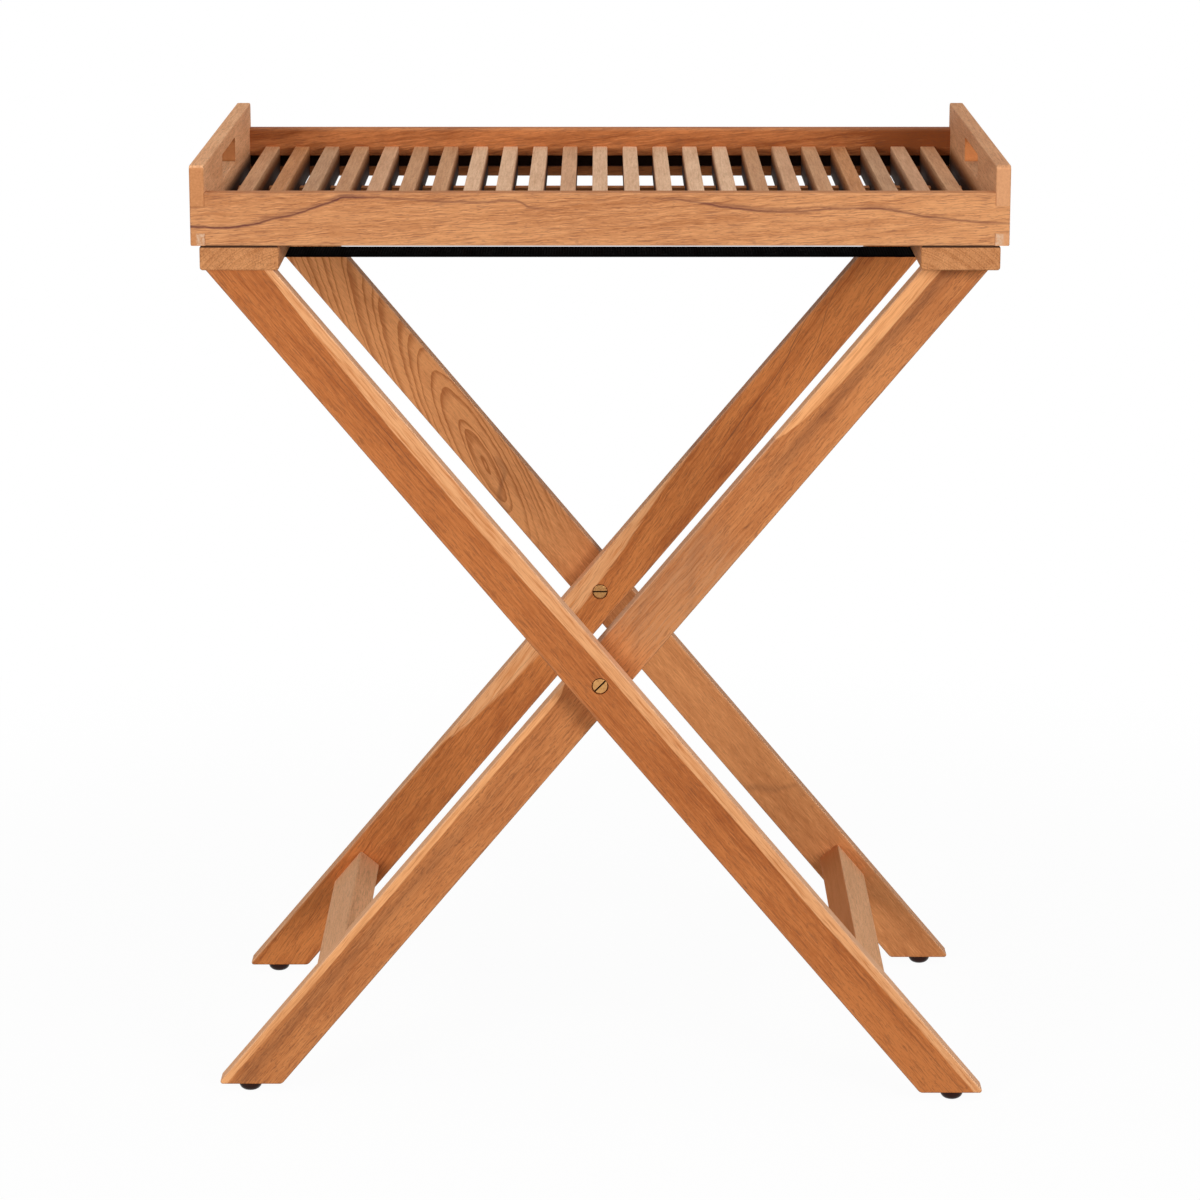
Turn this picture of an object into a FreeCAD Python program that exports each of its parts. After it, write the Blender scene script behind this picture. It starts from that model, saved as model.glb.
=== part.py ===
"""Butler's tray table: a slatted tray with raised ends, standing on a folding X-shaped stand.

Millimetres. X runs along the tray's length, Y from front to back, Z up.
The origin is on the floor, under the middle of the tray.
"""
import FreeCAD
import Part
import math
import os

Vector = FreeCAD.Vector

# Tray, overall
TRAY_LENGTH = 660.0
TRAY_DEPTH = 450.0
TRAY_EDGE_RADIUS = 1.2

# Tray ends
END_THICKNESS = 12.0
END_HEIGHT = 65.0
END_CORNER_RADIUS = 4.0
HAND_SLOT_LENGTH = 125.0
HAND_SLOT_HEIGHT = 20.0
HAND_SLOT_MARGIN = 12.5
HAND_SLOT_CORNER_RADIUS = 4.0

# Tray long rails, with a finger at each end that passes through the tray ends
TRAY_RAIL_THICKNESS = 14.0
TRAY_RAIL_HEIGHT = 43.0
FINGER_FOOT = 10.0
FINGER_HEIGHT = 22.0
FINGER_CLEARANCE = 0.1

# Slats, tongued into a groove along each long rail
SLAT_COUNT = 23
SLAT_WIDTH = 13.0
SLAT_HEIGHT = 26.0
SLAT_DROP = 16.5
SLAT_EDGE_RADIUS = 1.0
GROOVE_HEIGHT = 10.0
GROOVE_DEPTH = 7.0
TONGUE_CLEARANCE = 0.1

# Thin strips let in flush under the slats
STRIP_WIDTH = 14.0
STRIP_THICKNESS = 6.0
STRIP_SPACING = 174.0
STRIP_HOUSING = 4.0
STRIP_CLEARANCE = 0.1

# Stand, overall; its sides stand in a little from the tray's ends
STAND_HEIGHT = 730.0
STAND_INSET = 7.0
PIVOT_HEIGHT = 363.0

# Stand top rails, which run from front to back under the tray
TOP_RAIL_LENGTH = 385.0
TOP_RAIL_WIDTH = 64.0
TOP_RAIL_THICKNESS = 20.0
TOP_RAIL_EDGE_RADIUS = 2.5
TOP_RAIL_END_RADIUS = 1.2
TOP_RAIL_SETBACK = 0.0

# Legs
LEG_WIDTH = 42.0
LEG_THICKNESS = 20.0
LEG_INSET = 1.0
LEG_EDGE_RADIUS = 1.3
FOOT_TOE_RADIUS = 2.1
FOOT_HEEL_RADIUS = 5.0
LEG_TENON_SHOULDER = 10.0
LEG_TENON_CHEEK = 5.0
LEG_TENON_DEPTH = 12.0
TENON_CLEARANCE = 0.1
MORTISE_END_GAP = 0.4

# Stretchers, one low down in each frame; the height is that of their middle
STRETCHER_WIDTH = 40.0
STRETCHER_THICKNESS = 22.0
STRETCHER_HEIGHT = 95.0
STRETCHER_EDGE_RADIUS = 2.0
STRETCHER_TENON_SHOULDER = 7.0
STRETCHER_TENON_CHEEK = 5.0
STRETCHER_TENON_DEPTH = 10.0

# Glides under the feet
GLIDE_DIAMETER = 19.5
GLIDE_HEIGHT = 7.0
GLIDE_FLAT_DIAMETER = 10.0
GLIDE_RIM = 1.0
GLIDE_NAIL_DIAMETER = 3.0
GLIDE_NAIL_LENGTH = 15.0
NAIL_CLEARANCE = 0.05

# Pivots: a slotted screw into a slotted barrel, with a washer between the legs
BARREL_DIAMETER = 8.0
BARREL_RUNNING_CLEARANCE = 0.05
BARREL_BORE_DEPTH = 24.0
SCREW_DIAMETER = 5.0
SCREW_LENGTH = 20.0
SCREW_CLEARANCE = 0.05
PIVOT_HEAD_DIAMETER = 12.5
PIVOT_HEAD_THICKNESS = 2.5
PIVOT_HEAD_RECESS = 0.8
PIVOT_HEAD_EDGE_RADIUS = 0.5
PIVOT_HEAD_GAP = 0.6
COUNTERBORE_DIAMETER = 14.0
DRIVER_SLOT_WIDTH = 1.4
DRIVER_SLOT_DEPTH = 1.0
FRONT_SLOT_ANGLE = 45.0
BACK_SLOT_ANGLE = 0.0
WASHER_DIAMETER = 22.0
WASHER_THICKNESS = 2.0

# Straps, tacked under the top rails
STRAP_WIDTH = 50.0
STRAP_THICKNESS = 2.0
STRAP_END_MARGIN = 10.0
STRAP_SPACING = 167.0
TACKS_PER_STRAP_END = 3
TACK_EDGE_MARGIN = 9.0
TACK_END_MARGIN = 14.0
TACK_HEAD_DIAMETER = 8.0
TACK_HEAD_HEIGHT = 1.6
TACK_SHANK_DIAMETER = 1.8
TACK_SHANK_LENGTH = 11.0
TACK_HOLE_CLEARANCE = 0.3
TACK_RAIL_CLEARANCE = 0.05

# A cut starts this far outside the face that it goes through
CUT_OVERRUN = 1.0

# Two lengths closer than this are the same
SAME_LENGTH = 1e-4

# Places worked out from the sizes above
TRAY_BOTTOM = STAND_HEIGHT
TRAY_RAIL_TOP = TRAY_BOTTOM + TRAY_RAIL_HEIGHT
END_TOP = TRAY_BOTTOM + END_HEIGHT
TRAY_INNER_X = TRAY_LENGTH / 2 - END_THICKNESS
TRAY_INNER_Y = TRAY_DEPTH / 2 - TRAY_RAIL_THICKNESS
FINGER_LOW = TRAY_BOTTOM + FINGER_FOOT
FINGER_HIGH = FINGER_LOW + FINGER_HEIGHT
SLAT_TOP = TRAY_RAIL_TOP - SLAT_DROP
SLAT_BOTTOM = SLAT_TOP - SLAT_HEIGHT
SLAT_GAP = (2 * TRAY_INNER_X - SLAT_COUNT * SLAT_WIDTH) / (SLAT_COUNT + 1)
GROOVE_LOW = SLAT_BOTTOM + (SLAT_HEIGHT - GROOVE_HEIGHT) / 2
GROOVE_HIGH = GROOVE_LOW + GROOVE_HEIGHT

TOP_RAIL_BOTTOM = STAND_HEIGHT - TOP_RAIL_THICKNESS
TOP_RAIL_FRONT = -TRAY_DEPTH / 2 + TOP_RAIL_SETBACK
TOP_RAIL_BACK = TOP_RAIL_FRONT + TOP_RAIL_LENGTH
TOP_RAIL_OUTER_X = TRAY_LENGTH / 2 - STAND_INSET
TOP_RAIL_CENTRE_X = TOP_RAIL_OUTER_X - TOP_RAIL_WIDTH / 2
STAND_CENTRE_Y = (TOP_RAIL_FRONT + TOP_RAIL_BACK) / 2

LEG_RISE = TOP_RAIL_BOTTOM - PIVOT_HEIGHT
LEG_ANGLE = math.atan2(LEG_RISE, TOP_RAIL_CENTRE_X)
LEG_HALF_SPREAD = LEG_WIDTH / 2 / math.sin(LEG_ANGLE)
LEG_PITCH = LEG_THICKNESS + WASHER_THICKNESS
OUTER_LEG_Y = TOP_RAIL_LENGTH / 2 - LEG_INSET - LEG_THICKNESS / 2
INNER_LEG_Y = OUTER_LEG_Y - LEG_PITCH

# Each frame: which way its top leans, and how far its legs stand from the middle of the stand
OUTER = {"lean": -1, "leg_y": OUTER_LEG_Y}
INNER = {"lean": 1, "leg_y": INNER_LEG_Y}
FRONT = -1
BACK = 1


def block(xs, ys, zs):
    """Box between two values along each axis, given in either order."""
    low = Vector(min(xs), min(ys), min(zs))
    high = Vector(max(xs), max(ys), max(zs))
    size = high - low
    return Part.makeBox(size.x, size.y, size.z, low)


def rod(diameter, start, end):
    """Round rod from one point to another."""
    axis = end - start
    return Part.makeCylinder(diameter / 2, axis.Length, start, axis)


def round_edges(shape, radius, wanted):
    """Round the edges whose middle point the test accepts."""
    edges = [edge for edge in shape.Edges if wanted(edge.valueAt(middle_parameter(edge)), edge)]
    return shape.makeFillet(radius, edges)


def middle_parameter(edge):
    """Parameter halfway along an edge."""
    return (edge.FirstParameter + edge.LastParameter) / 2


def near(value, target):
    """True where two lengths are the same."""
    return abs(value - target) < SAME_LENGTH


def runs_along(edge, direction):
    """True for a straight edge that runs along a direction."""
    if not isinstance(edge.Curve, Part.Line):
        return False
    return near(edge.Curve.Direction.cross(direction).Length, 0.0)


def spin_profile(points):
    """Solid of revolution about Z from (radius, height) points; three points in a tuple make an arc."""
    edges = []
    last = points[0]
    for step in points[1:]:
        if isinstance(step[0], tuple):
            through, end = step
            arc = Part.Arc(*(Vector(radius, 0, height) for radius, height in (last, through, end)))
            edges.append(arc.toShape())
        else:
            end = step
            edges.append(Part.makeLine(Vector(last[0], 0, last[1]), Vector(end[0], 0, end[1])))
        last = end
    edges.append(Part.makeLine(Vector(last[0], 0, last[1]), Vector(points[0][0], 0, points[0][1])))
    face = Part.Face(Part.Wire(edges))
    return face.revolve(Vector(0, 0, 0), Vector(0, 0, 1), 360)


def tray_rail(side):
    """Long rail of the tray, with a finger at each end and a groove inside for the slats' tongues."""
    outer = side * TRAY_DEPTH / 2
    inner = side * TRAY_INNER_Y
    bar = block((-TRAY_INNER_X, TRAY_INNER_X), (outer, inner), (TRAY_BOTTOM, TRAY_RAIL_TOP))
    bar = round_edges(
        bar,
        TRAY_EDGE_RADIUS,
        lambda at, edge: runs_along(edge, Vector(1, 0, 0))
        and (near(at.y, outer) or near(at.z, TRAY_RAIL_TOP)),
    )
    finger = block((-TRAY_LENGTH / 2, TRAY_LENGTH / 2), (outer, inner), (FINGER_LOW, FINGER_HIGH))
    finger = round_edges(
        finger,
        TRAY_EDGE_RADIUS,
        lambda at, edge: runs_along(edge, Vector(0, 0, 1)) and near(at.y, outer),
    )
    groove = block(
        (-TRAY_INNER_X, TRAY_INNER_X),
        (inner - side * CUT_OVERRUN, inner + side * GROOVE_DEPTH),
        (GROOVE_LOW, GROOVE_HIGH),
    )
    return bar.fuse(finger).removeSplitter().cut(groove)


def hand_slot(outer, inner):
    """Rounded slot through a tray end, below its top edge."""
    top = END_TOP - HAND_SLOT_MARGIN
    slot = block(
        (outer, inner),
        (-HAND_SLOT_LENGTH / 2, HAND_SLOT_LENGTH / 2),
        (top - HAND_SLOT_HEIGHT, top),
    )
    return round_edges(slot, HAND_SLOT_CORNER_RADIUS, lambda at, edge: runs_along(edge, Vector(1, 0, 0)))


def tray_end(side):
    """Raised end board of the tray, notched for the rails' fingers and cut with a hand slot."""
    outer = side * TRAY_LENGTH / 2
    inner = side * TRAY_INNER_X
    board = block((outer, inner), (-TRAY_DEPTH / 2, TRAY_DEPTH / 2), (TRAY_BOTTOM, END_TOP))
    board = round_edges(
        board,
        END_CORNER_RADIUS,
        lambda at, edge: runs_along(edge, Vector(1, 0, 0)) and near(at.z, END_TOP),
    )
    board = board.cut(hand_slot(outer, inner))
    board = round_edges(
        board,
        TRAY_EDGE_RADIUS,
        lambda at, edge: near(at.x, outer) or (near(at.x, inner) and at.z > TRAY_BOTTOM + TRAY_EDGE_RADIUS),
    )
    for end in (FRONT, BACK):
        notch = block(
            (outer + side * CUT_OVERRUN, inner - side * CUT_OVERRUN),
            (end * (TRAY_DEPTH / 2 + CUT_OVERRUN), end * TRAY_INNER_Y),
            (FINGER_LOW - FINGER_CLEARANCE, FINGER_HIGH + FINGER_CLEARANCE),
        )
        housing = block(
            (inner - side * CUT_OVERRUN, inner + side * (STRIP_HOUSING + STRIP_CLEARANCE)),
            strip_span(end, STRIP_CLEARANCE),
            (SLAT_BOTTOM - STRIP_CLEARANCE, SLAT_BOTTOM + STRIP_THICKNESS + STRIP_CLEARANCE),
        )
        board = board.cut(notch).cut(housing)
    return board


def strip_span(end, clearance):
    """Front and back of a strip, widened by a clearance."""
    centre = end * STRIP_SPACING / 2
    half = STRIP_WIDTH / 2 + clearance
    return (centre - half, centre + half)


def strip(end):
    """Thin strip that ties the slats together from below, housed in both tray ends."""
    reach = TRAY_INNER_X + STRIP_HOUSING
    return block((-reach, reach), strip_span(end, 0.0), (SLAT_BOTTOM, SLAT_BOTTOM + STRIP_THICKNESS))


def slat(index):
    """One slat, with a tongue at each end and a notch below for each strip."""
    left = -TRAY_INNER_X + SLAT_GAP + index * (SLAT_WIDTH + SLAT_GAP)
    right = left + SLAT_WIDTH
    bar = block((left, right), (-TRAY_INNER_Y, TRAY_INNER_Y), (SLAT_BOTTOM, SLAT_TOP))
    bar = round_edges(bar, SLAT_EDGE_RADIUS, lambda at, edge: runs_along(edge, Vector(0, 1, 0)))
    reach = TRAY_INNER_Y + GROOVE_DEPTH - TONGUE_CLEARANCE
    tongue = block(
        (left, right),
        (-reach, reach),
        (GROOVE_LOW + TONGUE_CLEARANCE, GROOVE_HIGH - TONGUE_CLEARANCE),
    )
    bar = bar.fuse(tongue).removeSplitter()
    for end in (FRONT, BACK):
        notch = block(
            (left - CUT_OVERRUN, right + CUT_OVERRUN),
            strip_span(end, STRIP_CLEARANCE),
            (SLAT_BOTTOM - CUT_OVERRUN, SLAT_BOTTOM + STRIP_THICKNESS),
        )
        bar = bar.cut(notch)
    return bar


def leg_x(frame, height):
    """Place of a leg's middle line at a height."""
    return frame["lean"] * (height - PIVOT_HEIGHT) / math.tan(LEG_ANGLE)


def leg_centre_y(frame, end):
    """Middle of a leg's thickness, from front to back."""
    return STAND_CENTRE_Y + end * frame["leg_y"]


def leg_tenon(frame, end, clearance, depth):
    """Upright tenon on a leg's top, or the mortise for it when given a clearance."""
    half_x = LEG_HALF_SPREAD - LEG_TENON_SHOULDER + clearance
    half_y = LEG_THICKNESS / 2 - LEG_TENON_CHEEK + clearance
    x = leg_x(frame, TOP_RAIL_BOTTOM)
    y = leg_centre_y(frame, end)
    top = TOP_RAIL_BOTTOM + depth
    return block((x - half_x, x + half_x), (y - half_y, y + half_y), (TOP_RAIL_BOTTOM, top))


def top_rail(frame):
    """Flat rail that carries one side of the tray, mortised below for its two legs and drilled for tacks."""
    side = frame["lean"]
    rail = block(
        (side * TOP_RAIL_OUTER_X, side * (TOP_RAIL_OUTER_X - TOP_RAIL_WIDTH)),
        (TOP_RAIL_FRONT, TOP_RAIL_BACK),
        (TOP_RAIL_BOTTOM, STAND_HEIGHT),
    )
    rail = round_edges(rail, TOP_RAIL_EDGE_RADIUS, lambda at, edge: runs_along(edge, Vector(0, 1, 0)))
    rail = round_edges(
        rail,
        TOP_RAIL_END_RADIUS,
        lambda at, edge: near(at.y, TOP_RAIL_FRONT) or near(at.y, TOP_RAIL_BACK),
    )
    for end in (FRONT, BACK):
        rail = rail.cut(leg_tenon(frame, end, TENON_CLEARANCE, LEG_TENON_DEPTH + MORTISE_END_GAP))
    hole_diameter = TACK_SHANK_DIAMETER + 2 * TACK_RAIL_CLEARANCE
    hole_depth = TACK_SHANK_LENGTH - STRAP_THICKNESS + TACK_RAIL_CLEARANCE
    for place in tack_places(side):
        rail = rail.cut(rod(hole_diameter, place, place + Vector(0, 0, hole_depth)))
    return rail


def set_in_frame(frame, bar):
    """Turn a bar about the Y axis to follow a frame's legs, and move it to the stretcher's place."""
    lean = frame["lean"]
    bar.rotate(Vector(0, 0, 0), Vector(0, 1, 0), -lean * math.degrees(LEG_ANGLE))
    bar.translate(Vector(leg_x(frame, STRETCHER_HEIGHT), 0, STRETCHER_HEIGHT))
    return bar


def stretcher_bar(frame, width, thickness, end_reach):
    """Straight bar about the Y axis that reaches past the inner faces of a frame's legs by a distance."""
    reach = frame["leg_y"] - LEG_THICKNESS / 2 + end_reach
    return block(
        (-width / 2, width / 2),
        (STAND_CENTRE_Y - reach, STAND_CENTRE_Y + reach),
        (-thickness / 2, thickness / 2),
    )


def stretcher_tenons(frame, clearance, depth):
    """Bar whose two ends are a stretcher's tenons, or their mortises when given a clearance."""
    width = STRETCHER_WIDTH - 2 * STRETCHER_TENON_SHOULDER + 2 * clearance
    thickness = STRETCHER_THICKNESS - 2 * STRETCHER_TENON_CHEEK + 2 * clearance
    return stretcher_bar(frame, width, thickness, depth)


def stretcher(frame):
    """Low bar that ties a frame's two legs, with a tenon at each end."""
    bar = stretcher_bar(frame, STRETCHER_WIDTH, STRETCHER_THICKNESS, 0.0)
    bar = round_edges(bar, STRETCHER_EDGE_RADIUS, lambda at, edge: runs_along(edge, Vector(0, 1, 0)))
    tenons = stretcher_tenons(frame, 0.0, STRETCHER_TENON_DEPTH)
    return set_in_frame(frame, bar.fuse(tenons).removeSplitter())


def leg(frame, end):
    """One leg: sloping bar cut level at both ends, with its tenon, pivot hole and stretcher mortise."""
    y = leg_centre_y(frame, end)
    front = y - LEG_THICKNESS / 2
    back = y + LEG_THICKNESS / 2
    corners = []
    for height, sides in ((TOP_RAIL_BOTTOM, (-1, 1)), (GLIDE_HEIGHT, (1, -1))):
        for side in sides:
            corners.append(Vector(leg_x(frame, height) + side * LEG_HALF_SPREAD, front, height))
    outline = Part.makePolygon(corners + corners[:1])
    bar = Part.Face(outline).extrude(Vector(0, LEG_THICKNESS, 0))
    foot = Vector(leg_x(frame, GLIDE_HEIGHT), y, GLIDE_HEIGHT)
    for radius, side in ((FOOT_TOE_RADIUS, -frame["lean"]), (FOOT_HEEL_RADIUS, frame["lean"])):
        corner_x = foot.x + side * LEG_HALF_SPREAD
        bar = round_edges(
            bar,
            radius,
            lambda at, edge: runs_along(edge, Vector(0, 1, 0)) and near(at.z, foot.z) and near(at.x, corner_x),
        )
    bar = round_edges(
        bar,
        LEG_EDGE_RADIUS,
        lambda at, edge: (near(at.y, front) or near(at.y, back)) and not near(at.z, TOP_RAIL_BOTTOM),
    )
    bar = bar.fuse(leg_tenon(frame, end, 0.0, LEG_TENON_DEPTH)).removeSplitter()
    mortises = stretcher_tenons(frame, TENON_CLEARANCE, STRETCHER_TENON_DEPTH + MORTISE_END_GAP)
    bar = bar.cut(set_in_frame(frame, mortises))
    for cut in pivot_holes(end):
        bar = bar.cut(cut)
    nail_hole = rod(
        GLIDE_NAIL_DIAMETER + 2 * NAIL_CLEARANCE,
        foot - Vector(0, 0, CUT_OVERRUN),
        foot + Vector(0, 0, GLIDE_NAIL_LENGTH + NAIL_CLEARANCE),
    )
    return bar.cut(nail_hole)


def pivot_point(end, depth):
    """Point on a pivot's axis, at a depth from the outer leg's outer face towards the middle."""
    outer_face = OUTER_LEG_Y + LEG_THICKNESS / 2
    return Vector(0, STAND_CENTRE_Y + end * (outer_face - depth), PIVOT_HEIGHT)


def pivot_length():
    """Distance between the outer leg's outer face and the inner leg's inner face."""
    return 2 * LEG_THICKNESS + WASHER_THICKNESS


def pivot_holes(end):
    """Barrel hole through both legs of a pivot, and the counterbores for its two heads."""
    length = pivot_length()
    sink = PIVOT_HEAD_RECESS + PIVOT_HEAD_THICKNESS
    bore = rod(
        BARREL_DIAMETER + 2 * BARREL_RUNNING_CLEARANCE,
        pivot_point(end, -CUT_OVERRUN),
        pivot_point(end, length + CUT_OVERRUN),
    )
    outside = rod(COUNTERBORE_DIAMETER, pivot_point(end, -CUT_OVERRUN), pivot_point(end, sink))
    inside = rod(
        COUNTERBORE_DIAMETER,
        pivot_point(end, length - sink),
        pivot_point(end, length + CUT_OVERRUN),
    )
    return (bore, outside, inside)


def slotted_head(end, depth, outward, angle):
    """Flat round head with a driver slot; outward is -1 where the slot faces away from the middle."""
    seat = pivot_point(end, depth)
    top = pivot_point(end, depth + outward * PIVOT_HEAD_THICKNESS)
    head = rod(PIVOT_HEAD_DIAMETER, seat, top)
    head = round_edges(
        head,
        PIVOT_HEAD_EDGE_RADIUS,
        lambda at, edge: near(at.y, top.y) and not isinstance(edge.Curve, Part.Line),
    )
    slot_floor = pivot_point(end, depth + outward * (PIVOT_HEAD_THICKNESS - DRIVER_SLOT_DEPTH)).y
    slot_mouth = pivot_point(end, depth + outward * (PIVOT_HEAD_THICKNESS + CUT_OVERRUN)).y
    slot = block(
        (-PIVOT_HEAD_DIAMETER, PIVOT_HEAD_DIAMETER),
        (slot_floor, slot_mouth),
        (PIVOT_HEIGHT - DRIVER_SLOT_WIDTH / 2, PIVOT_HEIGHT + DRIVER_SLOT_WIDTH / 2),
    )
    slot.rotate(Vector(0, 0, PIVOT_HEIGHT), Vector(0, 1, 0), -angle)
    return head.cut(slot)


def pivot_screw(end, angle):
    """Slotted screw that enters a pivot's barrel from outside."""
    seat = PIVOT_HEAD_RECESS + PIVOT_HEAD_THICKNESS
    head = slotted_head(end, seat, -1, angle)
    shank = rod(SCREW_DIAMETER, pivot_point(end, seat), pivot_point(end, seat + SCREW_LENGTH))
    return head.fuse(shank).removeSplitter()


def pivot_barrel(end, angle):
    """Slotted barrel that both legs of a pivot turn on, bored for the screw."""
    mouth = PIVOT_HEAD_RECESS + PIVOT_HEAD_THICKNESS + PIVOT_HEAD_GAP
    seat = pivot_length() - PIVOT_HEAD_RECESS - PIVOT_HEAD_THICKNESS
    head = slotted_head(end, seat, 1, angle)
    tube = rod(BARREL_DIAMETER, pivot_point(end, mouth), pivot_point(end, seat))
    bore = rod(
        SCREW_DIAMETER + 2 * SCREW_CLEARANCE,
        pivot_point(end, mouth - CUT_OVERRUN),
        pivot_point(end, mouth + BARREL_BORE_DEPTH),
    )
    return head.fuse(tube).removeSplitter().cut(bore)


def pivot_washer(end):
    """Flat ring between the two legs of a pivot."""
    near_face = pivot_point(end, LEG_THICKNESS)
    far_face = pivot_point(end, LEG_THICKNESS + WASHER_THICKNESS)
    hole = BARREL_DIAMETER + 2 * BARREL_RUNNING_CLEARANCE
    return rod(WASHER_DIAMETER, near_face, far_face).cut(rod(hole, near_face, far_face))


def glides(frame):
    """Domed glide nailed under each foot of a frame."""
    radius = GLIDE_DIAMETER / 2
    flat = GLIDE_FLAT_DIAMETER / 2
    rim = GLIDE_HEIGHT - GLIDE_RIM
    arc_centre = (radius ** 2 - flat ** 2 - rim ** 2) / (2 * (radius - flat))
    arc_radius = radius - arc_centre
    half_turn = math.atan2(rim, flat - arc_centre) / 2
    bulge = (arc_centre + arc_radius * math.cos(half_turn), rim - arc_radius * math.sin(half_turn))
    dome = spin_profile([
        (0, 0),
        (flat, 0),
        (bulge, (radius, rim)),
        (radius, GLIDE_HEIGHT),
        (0, GLIDE_HEIGHT),
    ])
    nail = rod(
        GLIDE_NAIL_DIAMETER,
        Vector(0, 0, GLIDE_HEIGHT - GLIDE_RIM),
        Vector(0, 0, GLIDE_HEIGHT + GLIDE_NAIL_LENGTH),
    )
    glide = dome.fuse(nail).removeSplitter()
    pair = []
    for end in (FRONT, BACK):
        foot = Vector(leg_x(frame, GLIDE_HEIGHT), leg_centre_y(frame, end), 0)
        pair.append(glide.translated(foot))
    return Part.makeCompound(pair)


def strap_centre_y(end):
    """Middle of a strap's width."""
    return STAND_CENTRE_Y + end * STRAP_SPACING / 2


def tack_places(side):
    """Points on a top rail's underside where tacks go in, along each strap's end."""
    x = side * (TOP_RAIL_OUTER_X - STRAP_END_MARGIN - TACK_END_MARGIN)
    reach = STRAP_WIDTH / 2 - TACK_EDGE_MARGIN
    places = []
    for end in (FRONT, BACK):
        for index in range(TACKS_PER_STRAP_END):
            share = 2 * index / (TACKS_PER_STRAP_END - 1) - 1
            places.append(Vector(x, strap_centre_y(end) + share * reach, TOP_RAIL_BOTTOM))
    return places


def strap(end):
    """Flat webbing strap pulled tight between the undersides of the two top rails."""
    reach = TOP_RAIL_OUTER_X - STRAP_END_MARGIN
    centre = strap_centre_y(end)
    underside = TOP_RAIL_BOTTOM - STRAP_THICKNESS
    band = block(
        (-reach, reach),
        (centre - STRAP_WIDTH / 2, centre + STRAP_WIDTH / 2),
        (underside, TOP_RAIL_BOTTOM),
    )
    hole = TACK_SHANK_DIAMETER + 2 * TACK_HOLE_CLEARANCE
    overrun = Vector(0, 0, CUT_OVERRUN)
    for side in (-1, 1):
        for place in tack_places(side):
            if abs(place.y - centre) < STRAP_WIDTH / 2:
                band = band.cut(rod(hole, place - Vector(0, 0, STRAP_THICKNESS) - overrun, place + overrun))
    return band


def tacks(side):
    """Domed tacks that hold the straps' ends under one top rail."""
    radius = TACK_HEAD_DIAMETER / 2
    shank = TACK_SHANK_DIAMETER / 2
    halfway = math.sqrt(1 / 2)
    shoulder = (radius * halfway, -TACK_HEAD_HEIGHT * halfway)
    tack = spin_profile([
        (0, -TACK_HEAD_HEIGHT),
        (shoulder, (radius, 0)),
        (shank, 0),
        (shank, TACK_SHANK_LENGTH),
        (0, TACK_SHANK_LENGTH),
    ])
    underside = Vector(0, 0, STRAP_THICKNESS)
    return Part.makeCompound([tack.translated(place - underside) for place in tack_places(side)])


def build():
    """All pieces of the table by name."""
    pieces = {
        "tray_front_rail": tray_rail(FRONT),
        "tray_back_rail": tray_rail(BACK),
        "tray_left_end": tray_end(-1),
        "tray_right_end": tray_end(1),
        "tray_front_strip": strip(FRONT),
        "tray_back_strip": strip(BACK),
        "left_top_rail": top_rail(OUTER),
        "right_top_rail": top_rail(INNER),
        "outer_front_leg": leg(OUTER, FRONT),
        "outer_back_leg": leg(OUTER, BACK),
        "inner_front_leg": leg(INNER, FRONT),
        "inner_back_leg": leg(INNER, BACK),
        "outer_stretcher": stretcher(OUTER),
        "inner_stretcher": stretcher(INNER),
        "outer_glides": glides(OUTER),
        "inner_glides": glides(INNER),
        "front_pivot_screw": pivot_screw(FRONT, FRONT_SLOT_ANGLE),
        "front_pivot_barrel": pivot_barrel(FRONT, FRONT_SLOT_ANGLE),
        "front_pivot_washer": pivot_washer(FRONT),
        "back_pivot_screw": pivot_screw(BACK, BACK_SLOT_ANGLE),
        "back_pivot_barrel": pivot_barrel(BACK, BACK_SLOT_ANGLE),
        "back_pivot_washer": pivot_washer(BACK),
        "front_strap": strap(FRONT),
        "back_strap": strap(BACK),
        "left_rail_tacks": tacks(OUTER["lean"]),
        "right_rail_tacks": tacks(INNER["lean"]),
    }
    for index in range(SLAT_COUNT):
        pieces["tray_slat_%02d" % (index + 1)] = slat(index)
    return pieces


os.makedirs("parts", exist_ok=True)
for name, shape in build().items():
    shape.exportStep(os.path.join("parts", name + ".step"))
    print(name, len(shape.Solids), round(shape.Volume / 1000, 2), shape.isValid())
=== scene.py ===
"""Looks of a butler's tray table: oiled teak, black webbing straps, brass pivots and dark glides.

Metres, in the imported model's frame: X along the tray, Y from front to back, Z up.
"""
import logging
import math
from dataclasses import dataclass
from enum import Enum, IntEnum

import bpy
import numpy as np
from mathutils import Matrix


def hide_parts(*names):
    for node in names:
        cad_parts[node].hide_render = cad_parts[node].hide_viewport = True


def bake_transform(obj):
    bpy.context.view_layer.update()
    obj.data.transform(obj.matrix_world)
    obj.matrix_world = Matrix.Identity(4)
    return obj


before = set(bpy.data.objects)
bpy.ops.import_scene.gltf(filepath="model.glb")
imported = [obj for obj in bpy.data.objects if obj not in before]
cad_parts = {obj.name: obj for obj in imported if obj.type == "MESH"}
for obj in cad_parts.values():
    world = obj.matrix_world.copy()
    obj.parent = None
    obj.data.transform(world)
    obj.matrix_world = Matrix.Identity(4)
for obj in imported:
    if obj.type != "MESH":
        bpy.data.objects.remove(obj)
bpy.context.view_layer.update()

LOG = logging.getLogger("tray_table")

Colour = tuple[float, float, float, float]
Triple = tuple[float, float, float]
Range = tuple[float, float]
Line = tuple[Range, ...]
Socket = bpy.types.NodeSocket
Value = float | tuple[float, ...] | Socket

# How far a seed of 1 moves a board's noise, so that boards differ.
SEED_SHIFT: Triple = (1.7, 3.1, 2.3)
# The middle of a noise's values, which run from 0 to 1.
MIDDLE: float = 0.5
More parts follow.
